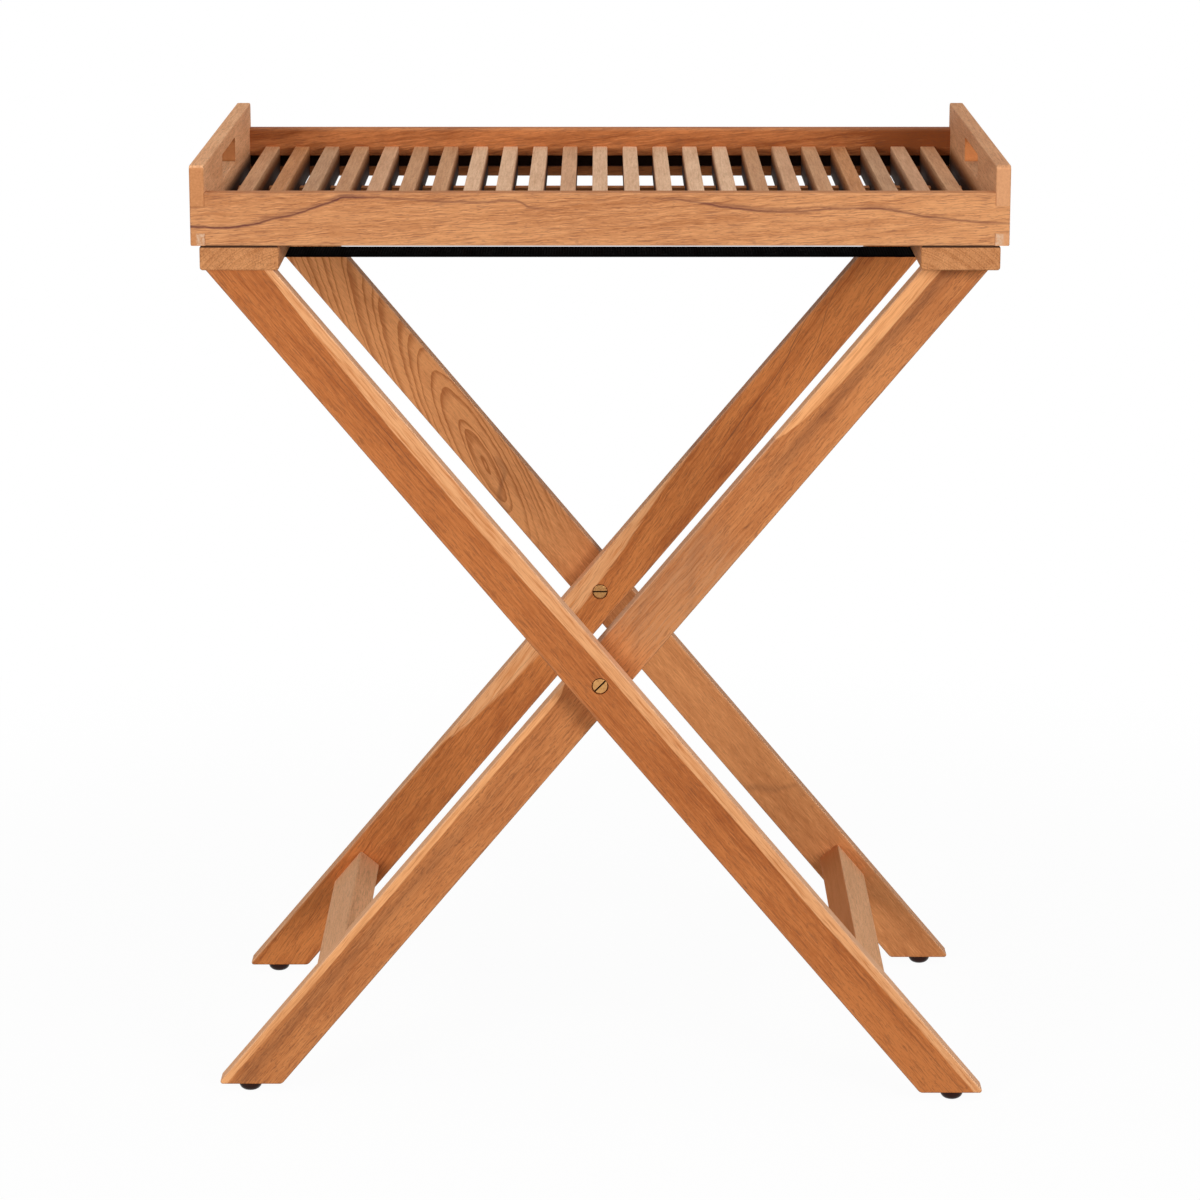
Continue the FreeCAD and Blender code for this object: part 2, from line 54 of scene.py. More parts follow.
# Further than any board reaches, for the open sides of a patch.
FAR: float = 1.0
FAR_CORNER: Triple = (FAR, FAR, FAR)
# A range above all streaks, for a patch that doesn't wear off.
UNWORN: Range = (1.2, 1.1)
WHITE: Colour = (1.0, 1.0, 1.0, 1.0)
X_AXIS: Triple = (1.0, 0.0, 0.0)
Y_AXIS: Triple = (0.0, 1.0, 0.0)
Z_AXIS: Triple = (0.0, 0.0, 1.0)


class Lean(IntEnum):
    """The two frames of the stand: the outer one leans to -X, the inner one to +X."""

    OUTER = -1
    INNER = 1


class End(IntEnum):
    """The table's front and back, by the sign of Y."""

    FRONT = -1
    BACK = 1


class Side(IntEnum):
    """The table's left and right, by the sign of X."""

    LEFT = -1
    RIGHT = 1


@dataclass(frozen=True)
class Noise:
    """One noise: its waves per metre along, across and through, its finer layers and their strength."""

    waves: Triple
    layers: float
    strength: float = 0.5


class Graph:
    """Builds the nodes of one tree, where an input may be a number, a colour or another node's socket.

    The Mix node's colour sockets are found by number: share, first and second in, and the result out.
    """

    mix_inputs: tuple[int, int, int] = (0, 6, 7)
    mix_output: int = 2

    def __init__(self, tree: bpy.types.NodeTree) -> None:
        """Work on this tree."""
        self.tree = tree

    def feed(self, socket: Socket, value: Value) -> None:
        """Link a socket, or set its own value.

        Args:
            socket: the input.
            value: another node's output, or a number or colour.
        """
        if isinstance(value, bpy.types.NodeSocket):
            self.tree.links.new(value, socket)
        else:
            socket.default_value = value

    def add(
        self,
        kind: str,
        inputs: dict[str | int, Value] | None = None,
        **settings: object,
    ) -> bpy.types.Node:
        """Add a shader node.

        Args:
            kind: the node's class name after "ShaderNode".
            inputs: values or sockets by input name or number.
            settings: the node's own properties.

        Returns:
            The new node.
        """
        node = self.tree.nodes.new("ShaderNode" + kind)
        for name, setting in settings.items():
            setattr(node, name, setting)
        for key, value in (inputs or {}).items():
            self.feed(node.inputs[key], value)
        return node

    def maths(self, operation: str, *terms: Value) -> Socket:
        """One scalar operation on up to three terms."""
        return self.add("Math", dict(enumerate(terms)), operation=operation).outputs[0]

    def split(self, vector: Socket) -> tuple[Socket, Socket, Socket]:
        """The three parts of a vector."""
        parts = self.add("SeparateXYZ", {0: vector}).outputs
        return parts[0], parts[1], parts[2]

    def stretch(self, vector: Socket, factors: Value) -> Socket:
        """A vector times a factor on each axis."""
        return self.add("VectorMath", {0: vector, 1: factors}, operation="MULTIPLY").outputs[0]

    def shifted(self, vector: Socket, seed: Value) -> Socket:
        """A vector moved far along all axes by a seed, so that each board has its own noise."""
        moved = self.add("VectorMath", {0: SEED_SHIFT, "Scale": seed}, operation="SCALE").outputs[0]
        return self.add("VectorMath", {0: vector, 1: moved}, operation="ADD").outputs[0]

    def noise(self, vector: Socket, noise: Noise) -> bpy.types.NodeOutputs:
        """Smooth noise over a place.

        Args:
            vector: the place.
            noise: the noise's size and layers.

        Returns:
            The outputs: a value and a colour.
        """
        place = self.stretch(vector, noise.waves)
        inputs = {"Vector": place, "Scale": 1.0, "Detail": noise.layers, "Roughness": noise.strength}
        return self.add("TexNoise", inputs).outputs

    def centred(self, value: Socket) -> Socket:
        """A noise's value less its middle."""
        return self.maths("SUBTRACT", value, MIDDLE)

    def step(self, value: Socket, low: Value, high: Value) -> Socket:
        """Smooth step from 0 at low to 1 at high."""
        inputs = {"Value": value, "From Min": low, "From Max": high}
        return self.add("MapRange", inputs, interpolation_type="SMOOTHSTEP").outputs[0]

    def between(self, value: Socket, low: float, high: float) -> Socket:
        """A share of 0 to 1 spread over a range."""
        inputs = {"Value": value, "To Min": low, "To Max": high}
        return self.add("MapRange", inputs).outputs[0]

    def mix(self, share: Value, first: Value, second: Value) -> Socket:
        """A colour between two others."""
        inputs = dict(zip(self.mix_inputs, (share, first, second)))
        return self.add("Mix", inputs, data_type="RGBA").outputs[self.mix_output]

    def drawn(self, along: Socket, points: Line) -> Socket:
        """A drawn line, read at a place along it.

        Args:
            along: the place, in the line's own unit.
            points: the line's points, in order along it.

        Returns:
            The line's height at that place; its end points hold beyond its ends.
        """
        places, heights = np.array(points).T
        low, high = heights.min(), heights.max()
        spread = {"Value": along, "From Min": places[0], "From Max": places[-1]}
        node = self.add("FloatCurve", {"Value": self.add("MapRange", spread).outputs[0]})
        along_shares = (places - places[0]) / (places[-1] - places[0])
        shares = np.stack([along_shares, (heights - low) / (high - low)], axis=1)
        dots = node.mapping.curves[0].points
        dots[0].location, dots[1].location = shares[0], shares[-1]
        for share in shares[1:-1]:
            dots.new(*share)
        node.mapping.update()
        return self.between(node.outputs[0], low, high)


@dataclass(frozen=True)
class Relief:
    """Fine relief of a surface: how strongly it shows, and how deep it is in metres."""

    strength: float
    depth: float

    def bump(self, graph: Graph, height: Socket) -> Socket:
        """The normal that a height between 0 and 1 gives."""
        inputs = {"Height": height, "Strength": self.strength, "Distance": self.depth}
        return graph.add("Bump", inputs).outputs[0]


class Effect:
    """A shared shader effect: one node group that each material places with its own values."""

    title: str = ""
    takes: dict[str, str] = {}
    gives: dict[str, str] = {}

    def __init__(self) -> None:
        """Build the group with its named sockets."""
        self.tree = bpy.data.node_groups.new(self.title, "ShaderNodeTree")
        for name, kind in self.takes.items():
            self.tree.interface.new_socket(name, in_out="INPUT", socket_type="NodeSocket" + kind)
        for name, kind in self.gives.items():
            self.tree.interface.new_socket(name, in_out="OUTPUT", socket_type="NodeSocket" + kind)
        start = self.tree.nodes.new("NodeGroupInput")
        end = self.tree.nodes.new("NodeGroupOutput")
        for name, socket in self.wire(Graph(self.tree), start.outputs).items():
            self.tree.links.new(socket, end.inputs[name])

    def wire(self, graph: Graph, takes: bpy.types.NodeOutputs) -> dict[str, Socket]:
        """Make the nodes between the group's inputs and outputs."""
        raise NotImplementedError

    def place(self, graph: Graph, inputs: dict[str, Value]) -> bpy.types.NodeOutputs:
        """Put this effect into a material.

        Args:
            graph: the material's nodes.
            inputs: values or sockets by input name.

        Returns:
            The placed group's outputs.
        """
        node = graph.add("Group", node_tree=self.tree)
        for name, value in inputs.items():
            graph.feed(node.inputs[name], value)
        return node.outputs


class GrowthRings(Effect):
    """Growth rings of the log that a board was sawn from.

    A ring's radius is the distance from the pith, a line that leans through the board and wanders with slow
    noise. Each ring darkens outwards and ends in a sharp edge.
    """

    title = "growth_rings"
    takes = {
        "Board Point": "Vector",
        "Seed": "Float",
        "Ring Width": "Float",
        "Pith Across": "Float",
        "Pith Through": "Float",
        "Lean Across": "Float",
        "Lean Through": "Float",
        "Wander": "Float",
    }
    gives = {"Late Wood": "Float"}
    drift: Noise = Noise((4.0, 20.0, 20.0), 2.0)
    rough: Noise = Noise((22.0, 190.0, 190.0), 2.0)
    rough_share: float = 0.12
    uneven_scale: float = 0.6
    uneven_layers: float = 1.0
    uneven_share: float = 2.2
    late_start: float = 0.42
    late_end: float = 0.94

    def wire(self, graph: Graph, takes: bpy.types.NodeOutputs) -> dict[str, Socket]:
        """Radius from the wandering pith, then a saw-tooth of it.

        Args:
            graph: the group's nodes.
            takes: the group's inputs by name.

        Returns:
            How dark each ring is, by output name.
        """
        along, across, through = graph.split(takes["Board Point"])
        moved = graph.shifted(takes["Board Point"], takes["Seed"])
        slow = graph.add("SeparateColor", {0: graph.noise(moved, self.drift)["Color"]})
        fine = graph.noise(moved, self.rough)["Fac"]
        squares = []
        for part, pith, lean, drift in (
            (across, takes["Pith Across"], takes["Lean Across"], slow.outputs[0]),
            (through, takes["Pith Through"], takes["Lean Through"], slow.outputs[1]),
        ):
            offset = graph.maths("SUBTRACT", part, pith)
            leaned = graph.maths("SUBTRACT", offset, graph.maths("MULTIPLY", lean, along))
            wandered = graph.maths("MULTIPLY_ADD", graph.centred(drift), takes["Wander"], leaned)
            squares.append(graph.maths("MULTIPLY", wandered, wandered))
        radius = graph.maths("SQRT", graph.maths("ADD", *squares))
        rough = graph.maths("MULTIPLY", takes["Wander"], self.rough_share)
        radius = graph.maths("MULTIPLY_ADD", fine, rough, radius)
        turns = graph.maths("DIVIDE", radius, takes["Ring Width"])
        spacing = {"W": turns, "Scale": self.uneven_scale, "Detail": self.uneven_layers}
        uneven = graph.add("TexNoise", spacing, noise_dimensions="1D").outputs["Fac"]
        saw = graph.maths("FRACT", graph.maths("MULTIPLY_ADD", uneven, self.uneven_share, turns))
        rise = graph.step(saw, self.late_start, self.late_end)
        fall = graph.step(saw, self.late_end, 1.0)
        return {"Late Wood": graph.maths("SUBTRACT", rise, fall)}


class Fibre(Effect):
    """Fibres along a board: streaks, dark strokes, pale flecks, short pores, a mottle and a cloud."""

    title = "fibre"
    takes = {"Board Point": "Vector", "Seed": "Float"}
    gives = {
        "Streak": "Float",
        "Strokes": "Float",
        "Flecks": "Float",
        "Pores": "Float",
        "Mottle": "Float",
        "Cloud": "Float",
    }
    streak: Noise = Noise((22.0, 560.0, 560.0), 4.0, 0.65)
    thin: Noise = Noise((55.0, 1000.0, 1000.0), 1.0)
    short: Noise = Noise((230.0, 1250.0, 1250.0), 1.0)
    mottle: Noise = Noise((100.0, 420.0, 420.0), 4.0, 0.7)
    cloud: Noise = Noise((11.0, 60.0, 60.0), 3.0)
    stroke_range: Range = (0.54, 0.7)
    fleck_range: Range = (0.44, 0.28)
    pore_range: Range = (0.55, 0.72)

    def wire(self, graph: Graph, takes: bpy.types.NodeOutputs) -> dict[str, Socket]:
        """Five noises, each stretched along the board by its own amount.

        Args:
            graph: the group's nodes.
            takes: the group's inputs by name.

        Returns:
            The fibres' masks by output name.
        """
        moved = graph.shifted(takes["Board Point"], takes["Seed"])
        thin = graph.noise(moved, self.thin)["Fac"]
        short = graph.noise(moved, self.short)["Fac"]
        return {
            "Streak": graph.noise(moved, self.streak)["Fac"],
            "Strokes": graph.step(thin, *self.stroke_range),
            "Flecks": graph.step(thin, *self.fleck_range),
            "Pores": graph.step(short, *self.pore_range),
            "Mottle": graph.noise(moved, self.mottle)["Fac"],
            "Cloud": graph.noise(moved, self.cloud)["Fac"],
        }


class SapWood(Effect):
    """Pale sapwood above a border across the board, feathered out along the fibres."""

    title = "sap_wood"
    takes = {"Board Point": "Vector", "Seed": "Float", "Border": "Float", "Feather": "Float"}
    gives = {"Sap": "Float"}
    ragged: Noise = Noise((14.0, 480.0, 480.0), 3.0)
    soft_share: float = 0.5

    def wire(self, graph: Graph, takes: bpy.types.NodeOutputs) -> dict[str, Socket]:
        """Signed distance from the ragged border, then a narrow step.

        Args:
            graph: the group's nodes.
            takes: the group's inputs by name.

        Returns:
            The sapwood's mask by output name.
        """
        _, across, _ = graph.split(takes["Board Point"])
        moved = graph.shifted(takes["Board Point"], takes["Seed"])
        ragged = graph.centred(graph.noise(moved, self.ragged)["Fac"])
        inside = graph.maths("SUBTRACT", across, takes["Border"])
        inside = graph.maths("MULTIPLY_ADD", ragged, takes["Feather"], inside)
        soft = graph.maths("MULTIPLY", takes["Feather"], self.soft_share)
        return {"Sap": graph.step(inside, 0.0, soft)}


class DarkVein(Effect):
    """A dark vein along a line across the board, with a smear above it.

    The vein fades with the distance from the swaying line; the smear fades upwards. Both follow the fibres.
    """

    title = "dark_vein"
    takes = {
        "Board Point": "Vector",
        "Seed": "Float",
        "Streak": "Float",
        "Line": "Float",
        "Sway": "Float",
        "Reach": "Float",
        "Strength": "Float",
        "Smear Reach": "Float",
        "Smear": "Float",
    }
    gives = {"Vein": "Float"}
    sway: Noise = Noise((70.0, 70.0, 70.0), 3.0)
    core_range: Range = (0.5, 1.5)
    smear_range: Range = (0.3, 0.6)

    def wire(self, graph: Graph, takes: bpy.types.NodeOutputs) -> dict[str, Socket]:
        """Distance above the line, faded out both ways for the vein and upwards for the smear.

        Args:
            graph: the group's nodes.
            takes: the group's inputs by name.

        Returns:
            The vein's mask by output name.
        """
        _, across, _ = graph.split(takes["Board Point"])
        moved = graph.shifted(takes["Board Point"], takes["Seed"])
        sway = graph.centred(graph.noise(moved, self.sway)["Fac"])
        line = graph.maths("MULTIPLY_ADD", sway, takes["Sway"], takes["Line"])
        above = graph.maths("SUBTRACT", across, line)
        away = graph.step(graph.maths("ABSOLUTE", above), 0.0, takes["Reach"])
        core = graph.maths("MULTIPLY", graph.maths("SUBTRACT", 1.0, away), takes["Strength"])
        core = graph.maths("MULTIPLY", core, graph.between(takes["Streak"], *self.core_range))
        started = graph.step(above, 0.0, takes["Reach"])
        faded = graph.step(above, 0.0, takes["Smear Reach"])
        shade = graph.maths("MULTIPLY", graph.maths("SUBTRACT", started, faded), takes["Smear"])
        shade = graph.maths("MULTIPLY", shade, graph.step(takes["Streak"], *self.smear_range))
        return {"Vein": graph.maths("MAXIMUM", core, shade)}


class EdgeRubAndHighlight(Effect):
    """Paler wood along the long edges of a board, where they are rubbed and where a highlight is painted.

    The distance from an edge is the root of the squared distances from the two faces that meet there.
    """

    title = "edge_rub_and_highlight"
    takes = {
        "Board Point": "Vector",
        "Seed": "Float",
        "Half Width": "Float",
        "Half Thickness": "Float",
        "Reach": "Float",
    }
    gives = {"Rub And Highlight": "Float"}
    broken: Noise = Noise((45.0, 200.0, 200.0), 3.0)
    broken_range: Range = (0.35, 1.0)

    def wire(self, graph: Graph, takes: bpy.types.NodeOutputs) -> dict[str, Socket]:
        """Distance from the nearest long edge, faded out and broken up by noise.

        Args:
            graph: the group's nodes.
            takes: the group's inputs by name.

        Returns:
            The rubbed edges' mask by output name.
        """
        _, across, through = graph.split(takes["Board Point"])
        moved = graph.shifted(takes["Board Point"], takes["Seed"])
        broken = graph.noise(moved, self.broken)["Fac"]
        squares = []
        for part, half in ((across, takes["Half Width"]), (through, takes["Half Thickness"])):
            inside = graph.maths("SUBTRACT", half, graph.maths("ABSOLUTE", part))
            inside = graph.maths("MAXIMUM", inside, 0.0)
            squares.append(graph.maths("MULTIPLY", inside, inside))
        distance = graph.maths("SQRT", graph.maths("ADD", *squares))
        near = graph.maths("SUBTRACT", 1.0, graph.step(distance, 0.0, takes["Reach"]))
        return {"Rub And Highlight": graph.maths("MULTIPLY", near, graph.between(broken, *self.broken_range))}


class Tarnish(Effect):
    """Dull patches and fine scratches on metal."""

    title = "tarnish"
    takes = {"Point": "Vector", "Patch Scale": "Float"}
    gives = {"Dull": "Float", "Scratch": "Float"}
    patches: Noise = Noise((1.0, 1.0, 1.0), 4.0, 0.6)
    scratches: Noise = Noise((0.7, 1.0, 9.0), 2.0)
    dull_range: Range = (0.4, 0.68)

    def wire(self, graph: Graph, takes: bpy.types.NodeOutputs) -> dict[str, Socket]:
        """Cloudy noise for the patches, and strongly stretched noise for the scratches.

        Args:
            graph: the group's nodes.
            takes: the group's inputs by name.

        Returns:
            The dull patches' mask and the scratches' height by output name.
        """
        scale = {0: takes["Point"], "Scale": takes["Patch Scale"]}
        scaled = graph.add("VectorMath", scale, operation="SCALE").outputs[0]
        dull = graph.noise(scaled, self.patches)["Fac"]
        scratch = graph.noise(scaled, self.scratches)["Fac"]
        return {"Dull": graph.step(dull, *self.dull_range), "Scratch": scratch}


@dataclass(frozen=True)
class TeakTone:
    """Colours of one teak: its lightest and darkest heartwood, its veins and pores, and its sapwood."""

    light: Colour
    dark: Colour
    vein: Colour = (0.14, 0.05, 0.025, 1.0)
    sap: Colour = (0.88, 0.43, 0.19, 1.0)


class Teak(Enum):
    """The teaks that the table is made of, painted-light and painted-shade copies of some, painted shade, and
    the filler in its joints.
    """

    GOLDEN = TeakTone((0.75, 0.345, 0.143, 1.0), (0.46, 0.165, 0.057, 1.0), (0.15, 0.045, 0.035, 1.0))
    STRAW = TeakTone((0.83, 0.42, 0.205, 1.0), (0.58, 0.25, 0.11, 1.0))
    # A darker painted-shade copy of the tone above, for the right end board.
    WHEAT_PAINTED_SHADE = TeakTone((0.73, 0.37, 0.18, 1.0), (0.51, 0.22, 0.097, 1.0))
    # A paler painted-light copy, for the left end board.
    AMBER_PAINTED_LIGHT = TeakTone((0.9, 0.48, 0.245, 1.0), (0.63, 0.285, 0.125, 1.0))
    RED = TeakTone((0.6, 0.2, 0.056, 1.0), (0.36, 0.092, 0.021, 1.0))
    RUSSET = TeakTone((0.57, 0.2, 0.063, 1.0), (0.26, 0.068, 0.015, 1.0))
    HONEY = TeakTone((0.67, 0.255, 0.083, 1.0), (0.43, 0.13, 0.036, 1.0), sap=(0.95, 0.45, 0.185, 1.0))
    BROWN = TeakTone((0.67, 0.225, 0.06, 1.0), (0.4, 0.105, 0.024, 1.0))
    ORANGE = TeakTone((0.78, 0.325, 0.118, 1.0), (0.45, 0.145, 0.042, 1.0))
    HAZEL = TeakTone((0.69, 0.31, 0.122, 1.0), (0.42, 0.15, 0.048, 1.0))
    ROSE = TeakTone((0.98, 0.52, 0.265, 1.0), (0.76, 0.37, 0.17, 1.0), (0.4, 0.18, 0.09, 1.0))
    # Painted shade for the outer stretcher's upper edge.
    SHADED_MAROON = TeakTone((0.66, 0.245, 0.082, 1.0), (0.46, 0.155, 0.047, 1.0))
    PALE = TeakTone((0.9, 0.575, 0.36, 1.0), (0.63, 0.34, 0.185, 1.0), (0.45, 0.24, 0.13, 1.0))
    FAWN = TeakTone((0.74, 0.41, 0.23, 1.0), (0.5, 0.25, 0.125, 1.0), (0.34, 0.16, 0.08, 1.0))
    SAND = TeakTone((0.65, 0.34, 0.17, 1.0), (0.43, 0.19, 0.083, 1.0), (0.24, 0.1, 0.045, 1.0))
    WARM = TeakTone((0.61, 0.27, 0.103, 1.0), (0.38, 0.135, 0.045, 1.0))
    GREY = TeakTone((0.59, 0.325, 0.175, 1.0), (0.39, 0.185, 0.087, 1.0), (0.22, 0.11, 0.055, 1.0))
    # Painted shade: a lighter tone and a deep one.
    PAINTED_SHADE = TeakTone((0.42, 0.155, 0.05, 1.0), (0.26, 0.085, 0.025, 1.0))
    PAINTED_DEEP_SHADE = TeakTone((0.055, 0.021, 0.01, 1.0), (0.03, 0.011, 0.005, 1.0))
    FILLER = TeakTone((0.78, 0.52, 0.35, 1.0), (0.62, 0.37, 0.22, 1.0))


@dataclass(frozen=True)
class Figure:
    """How a board shows its growth rings and fibres.

    The pith's place and lean are in the board's own directions, across its face and through its thickness.
    The slant darkens the board towards its upper edge, per metre. The skew is the fibres' slope across the
    face, and the ripple is how far they waver. The ring share and the shade may be a drawn line along the
    board.
    """

    ring_width: float = 0.005
    pith_across: float = -0.07
    pith_through: float = 0.03
    lean_across: float = 0.0
    lean_through: float = 0.0
    wander: float = 0.004
    ring_share: float | Line = 0.25
    streak_share: float = 1.4
    cloud_share: float = 1.2
    mottle_share: float = 0.8
    stroke_share: float = 0.36
    pore_share: float = 0.34
    fleck_share: float = 0.35
    slant: float = 0.0
    skew: float = 0.0
    ripple: float = 0.0012
    shade: float | Line = 0.34


@dataclass(frozen=True)
class Sap:
    """Sapwood above a drawn border: places along the board and across it, in metres."""

    border: Line
    feather: float = 0.002


@dataclass(frozen=True)
class Vein:
    """A dark vein along a drawn line, with a smear above it; both strengths may vary along it."""

    path: Line
    strength: float | Line
    reach: float = 0.0008
    sway: float = 0.002
    smear: float | Line = 0.0
    smear_reach: float = 0.005


@dataclass(frozen=True)
class Patch:
    """A box of another colour in the board's own directions.

    Its sides fade over the edge's length outside the box, and it wears off over a range of streaks.
    """

    low: Triple
    high: Triple
    teak: Teak
    edge: float = 0.0004
    wear: Range = UNWORN


@dataclass(frozen=True)
class Board:
    """One piece of teak: its node, where it lies, how its grain runs and what shows on it."""

    node: str
    centre: Triple
    along: Triple
    across: Triple
    half_width: float
    half_thickness: float
    teak: Teak
    seed: float
    figure: Figure = Figure()
    sap: Sap | None = None
    veins: tuple[Vein, ...] = ()
    patches: tuple[Patch, ...] = ()
    # Strength of a painted sheen on the narrow upper side.
    bleach: float = 0.0

    def turn(self) -> Triple:
        """Turn X, Y and Z to the board's length, width and thickness.

        Returns:
            The Euler angles.
        """
        length = np.array(self.along)
        width = np.array(self.across)
        columns = np.stack([length, width, np.cross(length, width)], axis=1)
        return tuple(Matrix(columns.tolist()).to_euler())


def new_material(name: str) -> tuple[bpy.types.Material, Graph, bpy.types.Node]:
    """Start a node material.

    Args:
        name: the material's name.

    Returns:
        The material, its graph and its Principled shader.
    """
    material = bpy.data.materials.new(name)
    material.use_nodes = True
    shader = material.node_tree.nodes["Principled BSDF"]
    return material, Graph(material.node_tree), shader


def coat(graph: Graph, shader: bpy.types.Node, colour: Socket, roughness: Socket, normal: Socket) -> None:
    """Feed a shader's colour, roughness and normal."""
    for name, socket in (("Base Color", colour), ("Roughness", roughness), ("Normal", normal)):
        graph.feed(shader.inputs[name], socket)


def dress(node: str, material: bpy.types.Material) -> None:
    """Give a CAD node its material.

    Args:
        node: the node's name.
        material: the material.
    """
    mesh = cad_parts[node].data
    mesh.materials.clear()
    mesh.materials.append(material)
    LOG.info("dressed %s in %s", node, material.name)


@dataclass(frozen=True)
class Work:
    """A board on the bench: its nodes, the point, the point that the fibres follow, and the fibres."""

    graph: Graph
    board: Board
    point: Socket
    grain: Socket
    fibre: bpy.types.NodeOutputs

    def parts(self) -> tuple[Socket, Socket, Socket]:
        """The point along, across and through the board."""
        return self.graph.split(self.point)

    def along_line(self, share: float | Line) -> Value:
        """A plain number, or a drawn line read at the point's place along the board."""
        return share if isinstance(share, float) else self.graph.drawn(self.parts()[0], share)

    def place(self, effect: Effect, point: Socket, terms: dict[str, Value]) -> bpy.types.NodeOutputs:
        """An effect placed at a point with the board's own seed."""
        return effect.place(self.graph, {"Board Point": point, "Seed": self.board.seed} | terms)


class TeakShop:
    """Makes each board's own teak from the shared effects."""

    roughness: Range = (0.6, 0.84)
    gloss: float = 0.16
    pore_depth: float = 0.6
    relief: Relief = Relief(0.35, 0.00025)
    ripple: Noise = Noise((75.0, 75.0, 75.0), 1.0)
    sap_streaks: Range = (0.38, 0.78)
    # Paler long edges: rubbed wear, with a painted highlight on the arrises.
    rub_and_highlight_reach: float = 0.0035
    rub_and_highlight_share: float = 0.15
    rub_and_highlight_colour: Colour = (0.78, 0.5, 0.3, 1.0)
    # Painted sheen on a board's narrow upper side: how deep it reaches, where it is full, its streaks and its
    # colour.
    bleach_depth: float = 0.0011
    bleach_full: float = 0.25
    bleach_streaks: Range = (0.85, 0.4)
    bleach_colour: Colour = (0.92, 0.55, 0.34, 1.0)

    def __init__(self) -> None:
        """Build the shared effects once."""
        self.rings = GrowthRings()
        self.fibre = Fibre()
        self.sap = SapWood()
        self.vein = DarkVein()
        self.rub_and_highlight = EdgeRubAndHighlight()

    def finish(self, board: Board) -> None:
        """Make a board's material, from its heartwood outwards, and put it on its node.

        Args:
            board: the board.
        """
        material, graph, shader = new_material("teak_" + board.node)
        place = graph.add("TexCoord").outputs["Object"]
        mapping = {"Vector": place, "Location": board.centre, "Rotation": board.turn()}
        point = graph.add("Mapping", mapping, vector_type="TEXTURE").outputs[0]
        grain = self.bent(graph, point, board.figure)
        fibre = self.fibre.place(graph, {"Board Point": grain, "Seed": board.seed})
        work = Work(graph, board, point, grain, fibre)
        colour = self.heart(work)
        if board.sap is not None:
            colour = self.with_sap(work, board.sap, colour)
        for vein in board.veins:
            colour = self.with_vein(work, vein, colour)
        colour = self.with_rub_and_highlight(work, colour)
        if board.bleach > 0.0:
            colour = self.with_bleach(work, colour)
        for patch in board.patches:
            colour = self.with_patch(work, patch, colour)
        height = graph.maths("MULTIPLY_ADD", fibre["Pores"], -self.pore_depth, fibre["Streak"])
        roughness = graph.between(fibre["Streak"], *self.roughness)
        coat(graph, shader, colour, roughness, self.relief.bump(graph, height))
        shader.inputs["Specular IOR Level"].default_value = self.gloss
        dress(board.node, material)

    def bent(self, graph: Graph, point: Socket, figure: Figure) -> Socket:
        """The point that fibres follow: the board point moved across by the figure's skew and ripple.

        Args:
            graph: the material's nodes.
            point: the board point.
            figure: the board's figure.

        Returns:
            The moved point.
        """
        along, across, through = graph.split(point)
        waver = graph.noise(point, self.ripple)["Fac"]
        moved = graph.maths("MULTIPLY_ADD", along, -figure.skew, across)
        moved = graph.maths("MULTIPLY_ADD", waver, figure.ripple, moved)
        return graph.add("CombineXYZ", {0: along, 1: moved, 2: through}).outputs[0]

    def heart(self, work: Work) -> Socket:
        """Heartwood: rings, streaks, mottle and cloud set how dark it is; strokes and pores come on top.

        Args:
            work: the board on the bench.

        Returns:
            The colour.
        """
        graph, fibre, figure = work.graph, work.fibre, work.board.figure
        teak = work.board.teak.value
        rings = {
            "Ring Width": figure.ring_width,
            "Pith Across": figure.pith_across,
            "Pith Through": figure.pith_through,
            "Lean Across": figure.lean_across,
            "Lean Through": figure.lean_through,
            "Wander": figure.wander,
        }
        late = work.place(self.rings, work.grain, rings)["Late Wood"]
        tone = graph.maths("MULTIPLY_ADD", work.parts()[1], figure.slant, work.along_line(figure.shade))
        tone = graph.maths("MULTIPLY_ADD", late, work.along_line(figure.ring_share), tone)
        tone = graph.maths("MULTIPLY_ADD", fibre["Flecks"], -figure.fleck_share, tone)
        for part, share in (
            (fibre["Streak"], figure.streak_share),
            (fibre["Mottle"], figure.mottle_share),
            (fibre["Cloud"], figure.cloud_share),
        ):
            tone = graph.maths("MULTIPLY_ADD", graph.centred(part), share, tone)
        colour = graph.mix(tone, teak.light, teak.dark)
        dark_parts = ((fibre["Strokes"], figure.stroke_share), (fibre["Pores"], figure.pore_share))
        for part, share in dark_parts:
            colour = graph.mix(graph.maths("MULTIPLY", part, share), colour, teak.vein)
        return colour

    def with_sap(self, work: Work, sap: Sap, colour: Socket) -> Socket:
        """Lay sapwood over a colour.

        Args:
            work: the board on the bench.
            sap: the sapwood.
            colour: the colour so far.

        Returns:
            The colour with the sapwood.
        """
        teak = work.board.teak.value
        terms = {"Border": work.along_line(sap.border), "Feather": sap.feather}
        mask = work.place(self.sap, work.point, terms)["Sap"]
        streaked = work.graph.step(work.fibre["Streak"], *self.sap_streaks)
        pale = work.graph.mix(streaked, teak.sap, teak.light)
        stroke = work.graph.maths("MULTIPLY", work.fibre["Strokes"], work.board.figure.stroke_share)
        return work.graph.mix(mask, colour, work.graph.mix(stroke, pale, teak.dark))

    def with_vein(self, work: Work, vein: Vein, colour: Socket) -> Socket:
        """Lay one dark vein over a colour.

        Args:
            work: the board on the bench.
            vein: the vein.
            colour: the colour so far.

        Returns:
            The colour with the vein.
        """
        terms = {
            "Streak": work.fibre["Streak"],
            "Line": work.along_line(vein.path),
            "Sway": vein.sway,
            "Reach": vein.reach,
            "Strength": work.along_line(vein.strength),
            "Smear Reach": vein.smear_reach,
            "Smear": work.along_line(vein.smear),
        }
        mask = work.place(self.vein, work.point, terms)["Vein"]
        return work.graph.mix(mask, colour, work.board.teak.value.vein)

